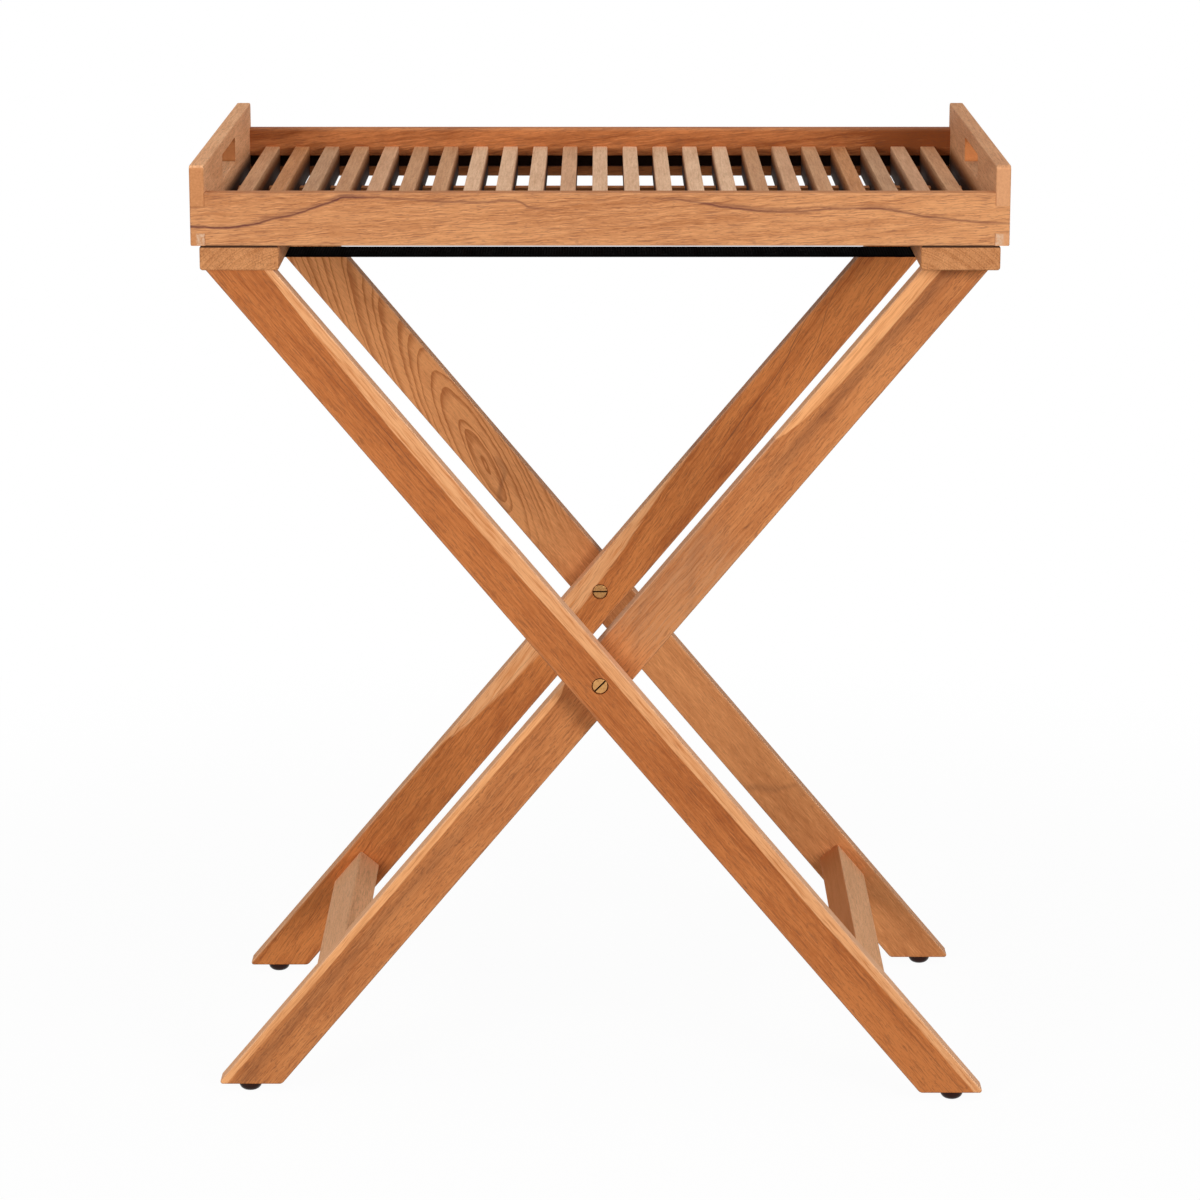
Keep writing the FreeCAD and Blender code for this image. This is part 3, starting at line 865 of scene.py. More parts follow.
    def with_rub_and_highlight(self, work: Work, colour: Socket) -> Socket:
        """Lighten the long edges of a board: rubbed wear and a painted highlight.

        Args:
            work: the board on the bench.
            colour: the colour so far.

        Returns:
            The colour with the rubbed and painted-highlight edges.
        """
        terms = {
            "Half Width": work.board.half_width,
            "Half Thickness": work.board.half_thickness,
            "Reach": self.rub_and_highlight_reach,
        }
        mask = work.place(self.rub_and_highlight, work.point, terms)["Rub And Highlight"]
        share = work.graph.maths("MULTIPLY", mask, self.rub_and_highlight_share)
        return work.graph.mix(share, colour, self.rub_and_highlight_colour)

    def with_bleach(self, work: Work, colour: Socket) -> Socket:
        """Paint a pale sheen on the narrow upper side of a board, a painted reflection of the bright
        surroundings.

        Args:
            work: the board on the bench.
            colour: the colour so far.

        Returns:
            The colour with the painted sheen.
        """
        graph, top = work.graph, work.board.half_width
        full = top - self.bleach_depth * self.bleach_full
        side = graph.step(work.parts()[1], top - self.bleach_depth, full)
        side = graph.maths("MULTIPLY", side, graph.step(work.fibre["Streak"], *self.bleach_streaks))
        return graph.mix(graph.maths("MULTIPLY", side, work.board.bleach), colour, self.bleach_colour)

    def with_patch(self, work: Work, patch: Patch, colour: Socket) -> Socket:
        """Lay a patch over a colour; its mask is one step up times one step down in each direction.

        Args:
            work: the board on the bench.
            patch: the patch.
            colour: the colour so far.

        Returns:
            The colour with the patch.
        """
        graph, teak = work.graph, patch.teak.value
        mask = graph.step(work.fibre["Streak"], *patch.wear)
        for part, low, high in zip(work.parts(), patch.low, patch.high):
            outside = graph.step(part, high, high + patch.edge)
            mask = graph.maths("MULTIPLY", mask, graph.step(part, low - patch.edge, low))
            mask = graph.maths("MULTIPLY", mask, graph.maths("SUBTRACT", 1.0, outside))
        return graph.mix(mask, colour, graph.mix(work.fibre["Streak"], teak.light, teak.dark))


@dataclass
class Tray:
    """The slatted tray: two long rails, two raised ends, slats and the strips under them."""

    half_length: float = 0.33
    half_depth: float = 0.225
    bottom: float = 0.73
    rail_height: float = 0.043
    rail_thickness: float = 0.014
    groove: Range = (-0.013, -0.003)
    groove_depth: float = 0.007
    end_height: float = 0.065
    end_thickness: float = 0.012
    slot_half_length: float = 0.0625
    slot_height: float = 0.02
    slat_width: float = 0.013
    slat_height: float = 0.026
    slat_middle: float = 0.7435
    slat_pitch: float = 0.02704
    strip_width: float = 0.014
    strip_thickness: float = 0.006
    strip_middle: float = 0.7335
    strip_y: float = 0.087
    # How deep the colour of a patch reaches into a face, for painted shade and end grain.
    skin: float = 0.0004
    # Painted shade on the front rail's top face, broken up along the streaks.
    top_shade_wear: Range = (0.9, 0.1)
    # Filler by the low fingers: its height over the bottom, and how far it reaches back.
    filler_rise: Range = (0.0015, 0.011)
    filler_depth: float = 0.003
    filler_fade: float = 0.0018
    filler_wear: Range = (0.72, 0.36)
    # Walls at both ends of a hand slot, which carry painted shade.
    slot_wall: float = 0.005
    # Painted shade low inside the ends, a lighter band and a deep one: how far from the middle to both sides,
    # and how far up.
    shade_reach: float = 0.2
    shade_top: float = -0.012
    deep_shade_reach: float = 0.205
    deep_shade_top: float = -0.021
    shade_fade: float = 0.011
    # Painted shade on the slats' lower parts, deepest on their sides, from these depths below a slat's
    # middle.
    slat_shade_from: float = -0.003
    slat_deep_shade_from: float = 0.002
    slat_shade_fade: float = 0.007
    slat_seed: float = 10.0
    slat_teaks: tuple[Teak, ...] = (
        Teak.SAND, Teak.WARM, Teak.GREY, Teak.SAND, Teak.FAWN, Teak.SAND, Teak.SAND, Teak.PALE,
        Teak.PALE, Teak.PALE, Teak.FAWN, Teak.PALE, Teak.PALE, Teak.PALE, Teak.PALE, Teak.PALE,
        Teak.SAND, Teak.FAWN, Teak.SAND, Teak.WARM, Teak.GREY, Teak.FAWN, Teak.SAND,
    )
    front_vein: Vein = Vein(
        path=(
            (-0.33, -0.006), (-0.306, -0.0068), (-0.286, -0.0048), (-0.266, -0.0003), (-0.2435, 0.0047),
            (-0.2286, 0.0099), (-0.2117, 0.0155), (-0.2004, 0.018), (-0.1646, 0.0164), (-0.089, 0.0141),
            (-0.0737, 0.0152), (-0.0619, 0.0129), (-0.0489, 0.0087), (0.0, 0.0165), (0.039, 0.0174),
            (0.0775, 0.0138), (0.1046, 0.0095), (0.154, 0.0062), (0.19, 0.0088), (0.222, 0.0088),
            (0.24, 0.006), (0.277, 0.0008), (0.33, -0.0032),
        ),
        strength=(
            (-0.33, 0.95), (-0.29, 1.0), (-0.26, 0.8), (-0.23, 0.95), (-0.2, 1.0), (-0.18, 0.5),
            (-0.08, 0.55), (-0.05, 0.5), (-0.03, 0.0), (0.03, 0.0), (0.05, 0.45), (0.08, 0.65), (0.1, 0.8),
            (0.15, 0.7), (0.19, 0.6), (0.23, 0.7), (0.28, 0.6), (0.33, 0.35),
        ),
        reach=0.0018,
        sway=0.003,
        smear=(
            (-0.33, 0.0), (-0.29, 0.25), (-0.262, 0.85), (-0.225, 0.95), (-0.2, 1.0), (-0.185, 0.2),
            (0.04, 0.0), (0.06, 0.15), (0.09, 0.7), (0.15, 0.7), (0.19, 0.45), (0.24, 0.4), (0.28, 0.15),
            (0.33, 0.0),
        ),
    )

    def rails(self) -> list[Board]:
        """The front and back rail, whose grain runs along X, with painted shade in the grooves that hold the
        slats and on the front rail's top.

        Returns:
            The two boards.
        """
        figures = {
            End.FRONT: Figure(
                ring_width=0.0065,
                pith_across=-0.05,
                pith_through=-0.035,
                lean_across=0.035,
                lean_through=0.02,
                wander=0.009,
                ring_share=0.22,
                streak_share=0.9,
                stroke_share=0.4,
                pore_share=0.3,
                fleck_share=0.6,
                slant=5.0,
                skew=0.05,
                ripple=0.003,
                shade=((-0.33, 0.36), (-0.2, 0.36), (0.05, 0.34), (0.2, 0.16), (0.33, 0.06)),
            ),
            End.BACK: Figure(
                ring_width=0.0065,
                pith_across=-0.05,
                pith_through=0.035,
                lean_across=0.035,
                lean_through=0.02,
                wander=0.009,
                streak_share=1.0,
                cloud_share=1.8,
                skew=0.1,
                ripple=0.003,
                # Darker towards both ends: painted shade where the end boards shadow the back rail.
                shade=(
                    (-0.33, 0.9), (-0.23, 0.5), (-0.1, 0.26), (-0.03, 0.18), (0.05, 0.32), (0.12, 0.38),
                    (0.2, 0.45), (0.24, 0.8), (0.27, 1.2), (0.33, 1.3),
                ),
            ),
        }
        half = self.rail_thickness / 2
        top = self.rail_height / 2
        reach = self.half_length - self.end_thickness
        boards = []
        for node, end, teak, seed, veins in (
            ("tray_front_rail", End.FRONT, Teak.GOLDEN, 1.0, (self.front_vein,)),
            ("tray_back_rail", End.BACK, Teak.RUSSET, 3.0, ()),
        ):
            # Painted deep shade in the groove between the slats.
            faces = sorted((end * (half - self.groove_depth - self.skin), end * (half - self.skin)))
            low = (-reach, self.groove[0], faces[0])
            high = (reach, self.groove[1], faces[1])
            patches = [Patch(low, high, Teak.PAINTED_DEEP_SHADE)]
            if end is End.FRONT:
                # Painted shade on the front rail's top face.
                top_face = (-FAR, top - self.skin, -FAR)
                patches.append(Patch(top_face, FAR_CORNER, Teak.PAINTED_SHADE, wear=self.top_shade_wear))
            else:
                right_face = (self.half_length - self.skin, -FAR, -FAR)
                patches.append(Patch(right_face, FAR_CORNER, Teak.WARM))
            boards.append(Board(
                node,
                (0.0, end * (self.half_depth - half), self.bottom + top),
                X_AXIS,
                Z_AXIS,
                top,
                half,
                teak,
                seed,
                figures[end],
                veins=veins,
                patches=tuple(patches),
            ))
        return boards

    def low_band(self, reach: float, top: float, face: Range, teak: Teak) -> Patch:
        """A band of painted shade low on an end board's inner face."""
        low, high = (-reach, -FAR, face[0]), (reach, top, face[1])
        return Patch(low, high, teak, edge=self.shade_fade)

    def ends(self) -> list[Board]:
        """The two end boards, whose grain runs along Y, in painted-light and painted-shade tones, with
        painted shade low inside and in the hand slots, and filler by the fingers.

        Returns:
            The two boards.
        """
        boards = []
        half = self.end_height / 2
        deep = self.end_thickness / 2
        reach = self.slot_half_length
        # The left board wears a paler painted-light tone and the right a darker painted-shade one; their
        # front end grain keeps its own tone.
        for node, side, teak, grain, slot, seed in (
            ("tray_left_end", Side.LEFT, Teak.AMBER_PAINTED_LIGHT, Teak.GOLDEN, Teak.PAINTED_SHADE, 3.0),
            ("tray_right_end", Side.RIGHT, Teak.WHEAT_PAINTED_SHADE, Teak.STRAW, Teak.HONEY, 4.0),
        ):
            left = side is Side.LEFT
            inner = (0.0, deep) if left else (-deep, 0.0)
            face = (deep - self.skin, FAR) if left else (-FAR, self.skin - deep)
            filler = Patch(
                (-self.half_depth, self.filler_rise[0] - half, inner[0]),
                (self.filler_depth - self.half_depth, self.filler_rise[1] - half, inner[1]),
                Teak.FILLER,
                edge=self.filler_fade,
                wear=self.filler_wear,
            )
            # Painted shade on the end walls of the hand slot.
            marks = [
                Patch(
                    (place - self.slot_wall, -self.skin, self.skin - deep),
                    (place + self.skin, self.slot_height + self.skin, deep - self.skin),
                    slot,
                )
                for place in (self.slot_wall - reach, reach)
            ]
            # Painted shade low on the inner face: a lighter band on the right board, a deep band on both.
            if not left:
                marks.append(self.low_band(self.shade_reach, self.shade_top, face, Teak.PAINTED_SHADE))
            marks += [
                self.low_band(self.deep_shade_reach, self.deep_shade_top, face, Teak.PAINTED_DEEP_SHADE),
                Patch((-FAR, -FAR, -FAR), (self.skin - self.half_depth, FAR, FAR), grain),
                filler,
            ]
            boards.append(Board(
                node,
                (side * (self.half_length - deep), 0.0, self.bottom + half),
                Y_AXIS,
                Z_AXIS,
                half,
                deep,
                teak,
                seed,
                Figure(
                    pith_across=0.02,
                    pith_through=0.05 * side,
                    lean_through=0.02,
                    stroke_share=0.3,
                    pore_share=0.2,
                    fleck_share=0.2,
                ),
                patches=tuple(marks),
            ))
        return boards

    def slats(self) -> list[Board]:
        """The slats, whose grain runs along Y, each from its own stick, with painted shade on their lower
        parts and sides.

        Returns:
            The boards, from left to right.
        """
        boards = []
        middle = (len(self.slat_teaks) - 1) / 2
        half = self.slat_width / 2
        fade, deep_shade = self.slat_shade_fade, self.slat_deep_shade_from
        # Painted shade on each slat's lower part, deepest on its sides.
        marks = (
            Patch((-FAR, -FAR, self.slat_shade_from), FAR_CORNER, Teak.PAINTED_SHADE, edge=fade),
            Patch((-FAR, -FAR, deep_shade), (FAR, self.skin - half, FAR), Teak.PAINTED_DEEP_SHADE, edge=fade),
            Patch((-FAR, half - self.skin, deep_shade), FAR_CORNER, Teak.PAINTED_DEEP_SHADE, edge=fade),
        )
        for index, teak in enumerate(self.slat_teaks):
            turn = 1 if index % 2 else -1
            boards.append(Board(
                "tray_slat_%02d" % (index + 1),
                ((index - middle) * self.slat_pitch, 0.0, self.slat_middle),
                Y_AXIS,
                X_AXIS,
                half,
                self.slat_height / 2,
                teak,
                self.slat_seed + index,
                Figure(
                    pith_across=0.03 * turn,
                    pith_through=0.045,
                    lean_across=0.02 * turn,
                    streak_share=1.7,
                    stroke_share=0.25,
                    pore_share=0.15,
                    fleck_share=0.15,
                ),
                patches=marks,
            ))
        return boards

    def strips(self) -> list[Board]:
        """The two strips under the slats, whose grain runs along X.

        Returns:
            The two boards.
        """
        return [
            Board(
                node,
                (0.0, end * self.strip_y, self.strip_middle),
                X_AXIS,
                Y_AXIS,
                self.strip_width / 2,
                self.strip_thickness / 2,
                Teak.HONEY,
                seed,
            )
            for node, end, seed in (
                ("tray_front_strip", End.FRONT, 40.0),
                ("tray_back_strip", End.BACK, 41.0),
            )
        ]

    def build(self, shop: TeakShop) -> None:
        """Finish every board of the tray."""
        for board in self.rails() + self.ends() + self.slats() + self.strips():
            shop.finish(board)


@dataclass
class Stand:
    """The folding stand's wood: legs, top rails and stretchers of the outer and the inner frame."""

    pivot_height: float = 0.363
    rail_bottom: float = 0.71
    rail_top: float = 0.73
    rail_centre_x: float = 0.291
    rail_centre_y: float = -0.0325
    rail_half_width: float = 0.032
    rail_half_length: float = 0.1925
    leg_half_width: float = 0.021
    leg_half_thickness: float = 0.01
    outer_leg_y: float = 0.1815
    inner_leg_y: float = 0.1595
    stretcher_height: float = 0.095
    stretcher_half_width: float = 0.02
    stretcher_half_thickness: float = 0.011
    # How far the painted shade in the crevice under the tray's front edge reaches.
    crevice_shade: float = 0.0013
    # Painted shade: the darker strip at the outer stretcher's upper edge.
    shaded_edge: float = 0.0006
    # The inner front leg's pale zone, worn along the streaks.
    pale_wear: Range = (0.9, -0.1)

    def slope(self, lean: Lean) -> tuple[Triple, Triple]:
        """Directions up along a frame's legs, and across them on their upper side.

        Args:
            lean: the frame.

        Returns:
            The two directions.
        """
        rise = self.rail_bottom - self.pivot_height
        size = math.hypot(rise, self.rail_centre_x)
        run_share = self.rail_centre_x / size
        rise_share = rise / size
        return (lean * run_share, 0.0, rise_share), (-lean * rise_share, 0.0, run_share)

    def leg(
        self,
        node: str,
        lean: Lean,
        end: End,
        teak: Teak,
        seed: float,
        figure: Figure,
        **marks: object,
    ) -> Board:
        """One leg, whose places along count from its pivot.

        Args:
            node: the leg's CAD node.
            lean: its frame.
            end: front or back.
            teak: its wood.
            seed: its noise.
            figure: its figure.
            marks: the board's sapwood, veins, patches and painted sheen.

        Returns:
            The leg.
        """
        along, across = self.slope(lean)
        reach = self.outer_leg_y if lean is Lean.OUTER else self.inner_leg_y
        centre = (0.0, self.rail_centre_y + end * reach, self.pivot_height)
        half, deep = self.leg_half_width, self.leg_half_thickness
        return Board(node, centre, along, across, half, deep, teak, seed, figure, **marks)

    def front_legs(self) -> list[Board]:
        """The straight-grained outer leg, and the inner one with a soft dark band and a pale zone.

        Both keep sapwood along their upper edge.

        Returns:
            The two boards.
        """
        outer = self.leg(
            "outer_front_leg", Lean.OUTER, End.FRONT, Teak.RED, 50.0,
            Figure(
                ring_width=0.0042,
                pith_across=-0.09,
                lean_across=0.012,
                ring_share=0.18,
                slant=9.0,
                shade=((-0.47, 0.0), (-0.37, 0.08), (-0.3, 0.28), (-0.2, 0.44), (0.0, 0.36), (0.47, 0.36)),
            ),
            sap=Sap((
                (-0.47, 0.014), (-0.375, 0.0135), (-0.3, 0.012), (-0.225, 0.0108), (-0.15, 0.0112),
                (-0.075, 0.0107), (-0.0125, 0.0104), (0.075, 0.0094), (0.15, 0.0082), (0.225, 0.0076),
                (0.3, 0.0091), (0.375, 0.0119), (0.425, 0.0142), (0.46, 0.016),
            )),
            veins=(
                Vein(
                    ((0.2, 0.0035), (0.36, 0.0045)),
                    ((0.2, 0.0), (0.24, 0.5), (0.33, 0.5), (0.38, 0.0)),
                    reach=0.0007,
                    sway=0.001,
                ),
                Vein(
                    ((0.22, -0.001), (0.35, 0.0005)),
                    ((0.2, 0.0), (0.24, 0.4), (0.31, 0.4), (0.36, 0.0)),
                    reach=0.0006,
                    sway=0.001,
                ),
                Vein(
                    ((-0.46, 0.0075), (-0.3, 0.0055)),
                    ((-0.46, 0.45), (-0.36, 0.35), (-0.28, 0.0)),
                    sway=0.001,
                ),
            ),
            bleach=0.7,
        )
        inner = self.leg(
            "inner_front_leg", Lean.INNER, End.FRONT, Teak.HONEY, 51.0,
            Figure(
                ring_width=0.006,
                pith_across=-0.08,
                pith_through=-0.04,
                lean_across=0.03,
                ring_share=0.15,
                cloud_share=1.6,
                pore_share=0.4,
                slant=6.0,
                ripple=0.002,
            ),
            sap=Sap((
                (-0.47, 0.0145), (-0.375, 0.0141), (-0.3, 0.0137), (-0.225, 0.0141), (-0.15, 0.0147),
                (-0.04, 0.015), (0.0, 0.026), (0.235, 0.026), (0.2475, 0.0205), (0.2625, 0.0155),
                (0.2875, 0.0115), (0.325, 0.0094), (0.375, 0.0084), (0.44, 0.0079), (0.46, 0.008),
            )),
            veins=(
                Vein(
                    (
                        (-0.46, 0.0065), (-0.3, 0.006), (-0.18, 0.005), (0.2, 0.003), (0.3, 0.0035),
                        (0.46, 0.0025),
                    ),
                    (
                        (-0.46, 0.3), (-0.25, 0.28), (-0.15, 0.12), (-0.05, 0.0), (0.17, 0.02),
                        (0.24, 0.26), (0.3, 0.34), (0.46, 0.4),
                    ),
                    reach=0.0095,
                ),
                Vein(
                    ((0.085, -0.024), (0.0975, -0.0168), (0.125, 0.0058), (0.145, 0.016), (0.165, 0.022)),
                    ((0.08, 0.0), (0.1, 0.2), (0.125, 0.18), (0.16, 0.1), (0.17, 0.0)),
                    reach=0.008,
                ),
                Vein(
                    ((0.03, -0.012), (0.05, 0.002), (0.075, 0.015), (0.1, 0.02)),
                    ((0.02, 0.0), (0.05, 0.16), (0.085, 0.14), (0.1, 0.0)),
                    reach=0.008,
                ),
            ),
            patches=(
                Patch((0.06, -FAR, -FAR), (0.14, FAR, FAR), Teak.SAND, edge=0.04, wear=self.pale_wear),
            ),
            bleach=0.5,
        )
        return [outer, inner]

    def back_legs(self) -> list[Board]:
        """The inner leg with slanting dark lines and a sapwood patch, and the outer one with arched rings.

        Returns:
            The two boards.
        """
        inner = self.leg(
            "inner_back_leg", Lean.INNER, End.BACK, Teak.BROWN, 52.0,
            Figure(
                ring_width=0.0055,
                pith_across=0.06,
                pith_through=0.05,
                lean_across=-0.03,
                wander=0.006,
                ring_share=0.2,
                cloud_share=2.0,
                mottle_share=1.0,
                skew=0.09,
                ripple=0.003,
            ),
            sap=Sap((
                (-0.47, 0.0188), (-0.21, 0.0185), (-0.2, 0.0175), (-0.185, 0.0135), (-0.1625, 0.01),
                (-0.1375, 0.0075), (-0.1, 0.005), (-0.08, 0.004), (-0.03, 0.003), (0.0, 0.005),
                (0.023, 0.0065), (0.055, 0.0095), (0.084, 0.0132), (0.1, 0.0152), (0.15, 0.0195),
                (0.17, 0.026), (0.46, 0.026),
            ), feather=0.005),
            veins=(
                Vein(
                    (
                        (0.1, -0.006), (0.15, -0.0013), (0.2175, 0.005), (0.25, 0.0063), (0.3, 0.0175),
                        (0.32, 0.021),
                    ),
                    ((0.1, 0.0), (0.14, 0.3), (0.2, 0.7), (0.3, 0.6), (0.33, 0.2)),
                ),
                Vein(
                    ((0.26, -0.012), (0.2875, -0.006), (0.35, 0.0175), (0.37, 0.021)),
                    ((0.26, 0.1), (0.3, 0.5), (0.36, 0.3), (0.38, 0.0)),
                ),
                Vein(
                    ((-0.18, 0.0165), (-0.08, 0.0095), (0.0, 0.0125)),
                    ((-0.2, 0.0), (-0.17, 0.3), (-0.05, 0.3), (0.02, 0.0)),
                    reach=0.0006,
                ),
            ),
            bleach=0.4,
        )
        outer = self.leg(
            "outer_back_leg", Lean.OUTER, End.BACK, Teak.ORANGE, 53.0,
            Figure(
                ring_width=0.0042,
                pith_across=-0.037,
                pith_through=-0.042,
                lean_across=0.2,
                lean_through=0.21,
                wander=0.006,
                ring_share=((-0.47, 0.06), (0.04, 0.1), (0.12, 0.85), (0.46, 0.8)),
                streak_share=0.6,
                stroke_share=0.15,
                pore_share=0.18,
                ripple=0.002,
                shade=((-0.47, 0.44), (0.05, 0.42), (0.1, 0.12), (0.37, 0.08), (0.43, 0.25), (0.47, 0.3)),
            ),
            veins=(
                Vein(
                    ((0.115, -0.021), (0.12, -0.019), (0.128, -0.011), (0.14, 0.0035), (0.15, 0.004)),
                    ((0.105, 0.0), (0.12, 0.35), (0.135, 0.32), (0.155, 0.0)),
                    reach=0.006,
                ),
                Vein(
                    (
                        (-0.262, 0.02), (-0.258, 0.012), (-0.2525, 0.0015), (-0.2375, -0.0135),
                        (-0.232, -0.022),
                    ),
                    ((-0.275, 0.0), (-0.262, 0.22), (-0.24, 0.25), (-0.222, 0.0)),
                    reach=0.009,
                ),
            ),
            bleach=0.5,
        )
        return [inner, outer]

    def top_rails(self) -> list[Board]:
        """The two rails that carry the tray, whose grain runs along Y, with painted shade in the crevice at
        their front under it.

        Returns:
            The two boards.
        """
        front, top = -self.rail_half_length, (self.rail_bottom - self.rail_top) / 2
        # Painted shade along the front of the top face, in the crevice under the tray.
        under_tray = (front + self.crevice_shade, FAR, top + self.crevice_shade)
        deep_shade = Patch((-FAR, -FAR, -FAR), under_tray, Teak.PAINTED_DEEP_SHADE)
        return [
            Board(
                node,
                (side * self.rail_centre_x, self.rail_centre_y, self.rail_bottom - top),
                Y_AXIS,
                X_AXIS,
                self.rail_half_width,
                -top,
                Teak.HAZEL,
                seed,
                Figure(
                    ring_width=0.004,
                    pith_across=-0.06 * side,
                    pith_through=0.09,
                    ring_share=0.4,
                    streak_share=0.8,
                    mottle_share=0.7,
                    pore_share=0.15,
                ),
                patches=(deep_shade,),
            )
            for node, side, seed in (
                ("left_top_rail", Side.LEFT, 54.0),
                ("right_top_rail", Side.RIGHT, 55.0),
            )
        ]

    def stretchers(self) -> list[Board]:
        """The two low bars, whose grain runs along Y and whose width follows the legs; one has painted shade
        along its upper edge.

        Returns:
            The two boards.
        """
        boards = []
        # Painted shade on the outer stretcher's upper edge.
        upper_edge = (-FAR, self.stretcher_half_width - self.shaded_edge, -FAR)
        for node, lean, seed, patches in (
            ("outer_stretcher", Lean.OUTER, 56.0, (Patch(upper_edge, FAR_CORNER, Teak.SHADED_MAROON),)),
            ("inner_stretcher", Lean.INNER, 57.0, ()),
        ):
            up, _ = self.slope(lean)
            drop = (self.pivot_height - self.stretcher_height) / up[2]
            boards.append(Board(
                node,
                (-drop * up[0], self.rail_centre_y, self.stretcher_height),
                Y_AXIS,
                up,
                self.stretcher_half_width,
                self.stretcher_half_thickness,
                Teak.ROSE,
                seed,
                Figure(ring_share=0.15, streak_share=1.0, cloud_share=0.8),
                patches=patches,
            ))
        return boards

    def build(self, shop: TeakShop) -> None:
        """Finish every board of the stand."""
        for board in self.front_legs() + self.back_legs() + self.top_rails() + self.stretchers():
            shop.finish(board)


@dataclass(frozen=True)
class Webbing:
    """Black webbing: its twill's pitch along and across, its fuzz, two blacks, sheen and relief."""

    uv_map: str = "along_across"
    pitch_along: float = 0.0022
    pitch_across: float = 0.0021
    fuzz: Noise = Noise((900.0, 900.0, 900.0), 3.0)
    fuzz_share: float = 0.5
    hollow: Colour = (0.0004, 0.0004, 0.0004, 1.0)
    thread: Colour = (0.0018, 0.0018, 0.0019, 1.0)
    roughness: Range = (0.8, 0.65)
    gloss: float = 0.02
    relief: Relief = Relief(0.6, 0.0003)

    def make(self) -> bpy.types.Material:
        """Threads that cross in a twill, whose height is the larger of two shifted waves, spread over 0 to 1.

        Returns:
            The material.
        """
        material, graph, shader = new_material("black_webbing")
        place = graph.add("UVMap", uv_map=self.uv_map).outputs[0]
        along, across, _ = graph.split(place)
        waves = []
        for pitch_across in (self.pitch_across, -self.pitch_across):
            phase = graph.maths("MULTIPLY", along, 2 * math.pi / self.pitch_along)
            phase = graph.maths("MULTIPLY_ADD", across, 2 * math.pi / pitch_across, phase)
            waves.append(graph.maths("SINE", phase))
        weave = graph.maths("MULTIPLY_ADD", graph.maths("MAXIMUM", *waves), 0.5, 0.5)
        woven = graph.maths("MULTIPLY", weave, 1.0 - self.fuzz_share)
        fuzz = graph.noise(place, self.fuzz)["Fac"]
        share = graph.maths("MULTIPLY_ADD", fuzz, self.fuzz_share, woven)
        colour = graph.mix(share, self.hollow, self.thread)
        roughness = graph.between(share, *self.roughness)
        coat(graph, shader, colour, roughness, self.relief.bump(graph, weave))
        shader.inputs["Specular IOR Level"].default_value = self.gloss
        return material


